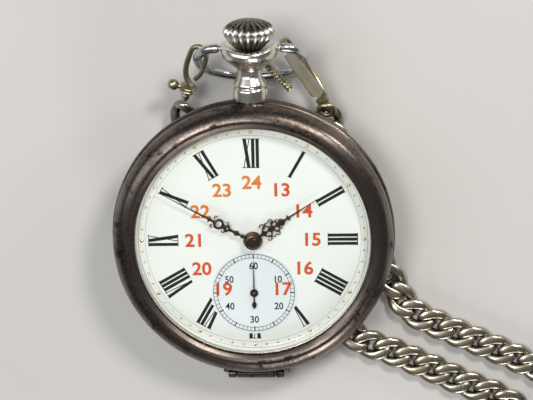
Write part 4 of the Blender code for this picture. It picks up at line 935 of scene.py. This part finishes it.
def make_numerals():
    form = Form()
    for hour, text in enumerate(NUMERALS):
        turn = Matrix.Rotation(-2 * math.pi * hour / 12, 2)
        keep = outside_seconds if hour in (5, 6, 7) else None
        pieces = 40 if keep else 1
        at = -sum(LETTERS[letter][0] for letter in text) / 2
        for letter in text:
            wide = LETTERS[letter][0]
            for x0, y0, x1, y1, w0, w1 in letter_bars(letter, at + wide / 2):
                ink_strip(form, turn @ Vector((x0, y0)), turn @ Vector((x1, y1)), w0, w1, keep,
                          pieces)
            at += wide
    form.make("roman_numerals", "ink", "case", (), "enamel", sharp=30.0)


def ink_ring(form, radius, wide, steps, centre=(0, 0), high=INK_HIGH):
    profile = [(radius - wide / 2, INK_LOW), (radius + wide / 2, INK_LOW),
               (radius + wide / 2, high), (radius - wide / 2, high)]
    form.lathe(profile, steps, centre)


def make_tracks():
    form = Form()
    ink_ring(form, 20.95, 0.05, 200)
    ink_ring(form, 19.75, 0.035, 200)
    form.make("outer_track", "grey_ink", "case", (), "enamel")
    form = Form()
    centre = (0, SECONDS_Y)
    for radius, wide in ((7.45, 0.09), (6.75, 0.07)):
        ink_ring(form, radius, wide, 120, centre, SECONDS_INK_HIGH)
    for i, a in enumerate(around(60)):
        toward = Vector((math.sin(a), math.cos(a)))
        low, high, wide = (6.75, 7.45, 0.07) if i % 5 else (6.6, 7.5, 0.2)
        ink_strip(form, Vector(centre) + toward * low, Vector(centre) + toward * high, wide, wide)
    form.make("seconds_track", "ink", "case", (), "enamel")
    form = Form()
    for i, a in enumerate(around(60)):
        size = 0.23 if i % 5 else 0.36
        dot = [(0.001, DIAL_Z + size * 0.6), (size * 0.5, DIAL_Z + size * 0.52),
               (size * 0.87, DIAL_Z + size * 0.3), (size, DIAL_Z - 0.01)]
        form.lathe(dot, 14, (20.3 * math.sin(a), 20.3 * math.cos(a)), closed=False)
    form.make("minute_dots", "gold_paint", "case", (), "gilt", 70.0)


def numbers(name, words, size, material, squeeze, weight):
    """Upright numbers as thin raised ink: words is [(text, x, y)] in dial millimetres."""
    height_share, ink, lift = 0.73, 0.012, 0.018
    work = bmesh.new()
    for text, x, y in words:
        curve = bpy.data.curves.new(name, "FONT")
        curve.body = text
        curve.size = size * MM / height_share
        curve.align_x = "CENTER"
        curve.align_y = "CENTER"
        curve.extrude = ink * MM
        curve.offset = weight * MM
        curve.resolution_u = 3
        mesh = mesh_from(curve)
        middle = [(min(v.co[k] for v in mesh.vertices) + max(v.co[k] for v in mesh.vertices)) / 2
                  for k in (0, 1)]
        mesh.transform(Matrix.Translation((-middle[0], -middle[1], 0)))
        mesh.transform(Matrix.Diagonal((squeeze, 1, 1, 1)))
        mesh.transform(WATCH @ Matrix.Translation(Vector((x, y, DIAL_Z + lift)) * MM))
        work.from_mesh(mesh)
        bpy.data.meshes.remove(mesh)
    joined = bpy.data.meshes.new(name)
    bmesh.ops.remove_doubles(work, verts=work.verts, dist=1e-8)
    work.to_mesh(joined)
    work.free()
    joined.materials.append(MATERIALS[material])
    obj = bpy.data.objects.new(name, joined)
    bpy.context.scene.collection.objects.link(obj)
    place_on(obj, "case", ())


def on_ring(hour, radius, middle_y=0.0):
    """The place of an hour, 12 being up, on a ring about (0, middle_y)."""
    a = 2 * math.pi * hour / 12
    return radius * math.sin(a), middle_y + radius * math.cos(a)


def make_dial():
    profile = [(21.3, 2.3), (21.62, 2.26), (21.85, 2.1), (21.9, 1.9), (21.9, 1.33), (1.25, 1.33),
               (1.25, 2.3), (8.0, 2.302)]
    Form().lathe(profile, 200).make("dial_enamel", "enamel", "case", ("dial",), "enamel", 30.0)
    # The sunk seconds dial gets the darker enamel: painted shade.
    sunk = [(7.95, 2.295), (7.9, 2.325), (7.8, 2.325), (7.7, 2.304), (0.5, 2.304), (0.5, 2.29)]
    Form().lathe(sunk, 120, (0, SECONDS_Y)).make("dial_sunk", "enamel_sunk_shaded", "case", (),
                                                 "enamel", 20.0)
    make_numerals()
    make_tracks()
    red = [(str(12 + h), *on_ring(h, 10.95)) for h in (1, 2, 3, 4, 5, 7, 8, 9)]
    orange = [(str(12 + h), *on_ring(h, 10.95)) for h in (10, 11, 12)]
    numbers("hours_13_to_21", red, 2.5, "red_ink", 1.05, 0.085)
    numbers("hours_22_to_24", orange, 2.5, "orange_ink", 1.05, 0.085)
    small = [(str(5 * h), *on_ring(h, 5.2, SECONDS_Y)) for h in (12, 2, 4, 6, 8, 10)]
    numbers("seconds_numbers", small, 1.35, "ink", 0.9, 0.03)


# ---------------------------------------------------------------- hands


HOUR_Z = 2.85
MINUTE_Z = 3.4
HAND_THICK = 0.2
HAND_TIP = 0.012


def hand_outline(stations, boss_r):
    """Mirrors smooth (distance, half width) stations about the hand, closed round its boss."""
    fine = [(p[0], max(HAND_TIP, p[1])) for p in smooth_route(stations, 4)]
    right = [(w, y) for y, w in fine]
    left = [(-w, y) for y, w in reversed(fine)]
    start = math.asin(min(0.99, fine[0][1] / boss_r))
    turns = [math.pi / 2 + start + (2 * math.pi - 2 * start) * i / 28 for i in range(29)]
    return right + left + [(boss_r * math.cos(a), boss_r * math.sin(a)) for a in turns[1:-1]]


def scrolls(name, curls, z, body, turn):
    """Curled wires on both sides of a hand: curls is [(x, y, radius, way round)]."""
    form = Form()
    for x, y, size, way in curls:
        for side in (-1, 1):
            route = []
            for i in range(22):
                t = i / 21
                a = math.pi + way * 4.9 * t
                reach = size * (1.0 - 0.62 * t)
                route.append((side * (x + reach * math.cos(a)), y + reach * math.sin(a), 0.0))
            form.tube(route, lambda t: 0.125 - 0.03 * t, 8)
    place = WATCH @ Matrix.Translation((0, 0, z * MM)) @ Matrix.Rotation(turn, 4, "Z")
    form.make(name, "hands", body, (), "rose_bronze", place=place)


def make_hour_hand():
    turn = math.radians(-56.5)
    stations = [(1.55, 0.30), (2.0, 0.26), (2.4, 0.6), (2.9, 1.15), (3.5, 1.2), (3.95, 0.62),
                (4.3, 0.62), (4.7, 1.2), (5.2, 1.1), (5.6, 0.42), (5.85, 0.5), (6.3, 0.78),
                (6.75, 0.5), (7.1, 0.2), (7.55, 0.24), (7.8, 0.66), (8.05, 0.24), (8.6, 0.16),
                (14.2, HAND_TIP)]
    holes = [circle(1.12, 24), oval(-0.55, 3.2, 0.40, 0.46), oval(0.55, 3.2, 0.40, 0.46),
             oval(-0.54, 4.95, 0.39, 0.36), oval(0.54, 4.95, 0.39, 0.36)]
    flat("hand_hour", [hand_outline(stations, 1.75), *holes], HOUR_Z, HAND_THICK, "hour_hand",
         ("hour_hand",), turn, bevel=0.04)
    curls = [(1.35, 2.75, 0.62, -1), (1.25, 3.85, 0.42, 1), (1.3, 4.6, 0.58, -1),
             (0.75, 5.75, 0.36, 1)]
    scrolls("hand_hour_scrolls", curls, HOUR_Z, "hour_hand", turn)


def make_minute_hand():
    turn = math.radians(-299.0)
    stations = [(1.4, 0.24), (1.75, 0.2), (2.15, 0.46), (2.5, 0.2), (2.85, 0.24), (3.4, 0.52),
                (3.9, 0.26), (4.45, 0.24), (4.85, 0.4), (5.25, 0.82), (5.65, 0.5), (5.9, 0.35),
                (6.3, 0.7), (6.9, 1.02), (7.5, 0.92), (8.0, 0.35), (8.4, 0.2), (8.7, 0.26),
                (8.95, 0.62), (9.2, 0.24), (9.8, 0.17), (19.5, HAND_TIP)]
    holes = [circle(0.81, 20), oval(0, 7.0, 0.58, 0.52), oval(0, 5.2, 0.22, 0.14, 12)]
    flat("hand_minute", [hand_outline(stations, 1.6), *holes], MINUTE_Z, HAND_THICK,
         "minute_hand", ("minute_hand",), turn, bevel=0.04)
    curls = [(0.85, 5.75, 0.36, 1), (0.95, 8.0, 0.34, -1)]
    scrolls("hand_minute_scrolls", curls, MINUTE_Z, "minute_hand", turn)
    boss = [(0.001, 4.16), (0.72, 4.16), (0.82, 4.08), (0.95, 4.08), (1.08, 4.2), (1.3, 4.14),
            (1.46, 3.92), (1.5, 3.6), (1.42, 3.54), (0.001, 3.54)]
    form = Form().lathe(boss, 48, closed=False)
    form.make("hand_cap", "hands", "minute_hand", ("hand_boss",), "rose_bronze")


def make_seconds_hand():
    up = [(0.72, 0.12), (3.0, 0.085), (6.3, 0.03)]
    right = [(w, y) for y, w in up]
    left = [(-w, y) for y, w in reversed(up)]
    turns = [math.radians(100 + 160 * i / 12) for i in range(13)]
    left_hub = [(0.75 * math.cos(a), 0.75 * math.sin(a)) for a in turns]
    right_hub = [(-x, y) for x, y in reversed(left_hub)]
    left_tail = [(-0.1, -1.4), (-0.14, -1.7), (-0.36, -2.0), (-0.44, -2.35), (-0.25, -2.8)]
    right_tail = [(-x, y) for x, y in reversed(left_tail)]
    outline = right + left + left_hub + left_tail + [(0.0, -3.1)] + right_tail + right_hub
    flat("hand_seconds", [outline, circle(0.24, 12)], 2.55, 0.14, "fourth_wheel",
         ("seconds_hand",), at=(0, SECONDS_Y))


# ---------------------------------------------------------------- movement and assembly


def dress_movement():
    """Materials for the CAD nodes that stay as they are."""
    kinds = {
        "gilt": ("main_plate", "barrel_bridge", "train_bridge", "balance_cock"),
        "brass": ("barrel", "centre_wheel", "third_wheel", "fourth_wheel", "balance_wheel",
                  "hour_wheel", "minute_wheel"),
        "blue": ("mainspring", "hairspring", "ratchet_screw", "crown_wheel_screw",
                 "barrel_bridge_screw_1", "barrel_bridge_screw_2", "train_bridge_screw_1",
                 "train_bridge_screw_2", "balance_cock_screw"),
        "nickel": ("bezel_hinge_pin", "back_hinge_pin"),
    }
    of_node = {name: kind for kind, names in kinds.items() for name in names}
    for name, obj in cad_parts.items():
        made = MATERIALS[of_node.get(name, "steel")]
        if not obj.material_slots:
            obj.data.materials.append(made)
        for place in obj.material_slots:
            place.material = made


MATERIALS = make_materials()
make_camera()
dress_movement()
make_chain()
make_light()
make_floor()
make_case()
make_bezel()
make_covers()
make_crown()
make_bow()
make_right_clasp()
make_left_clasp()
make_dial()
make_hour_hand()
make_minute_hand()
make_seconds_hand()

bpy.context.view_layer.update()
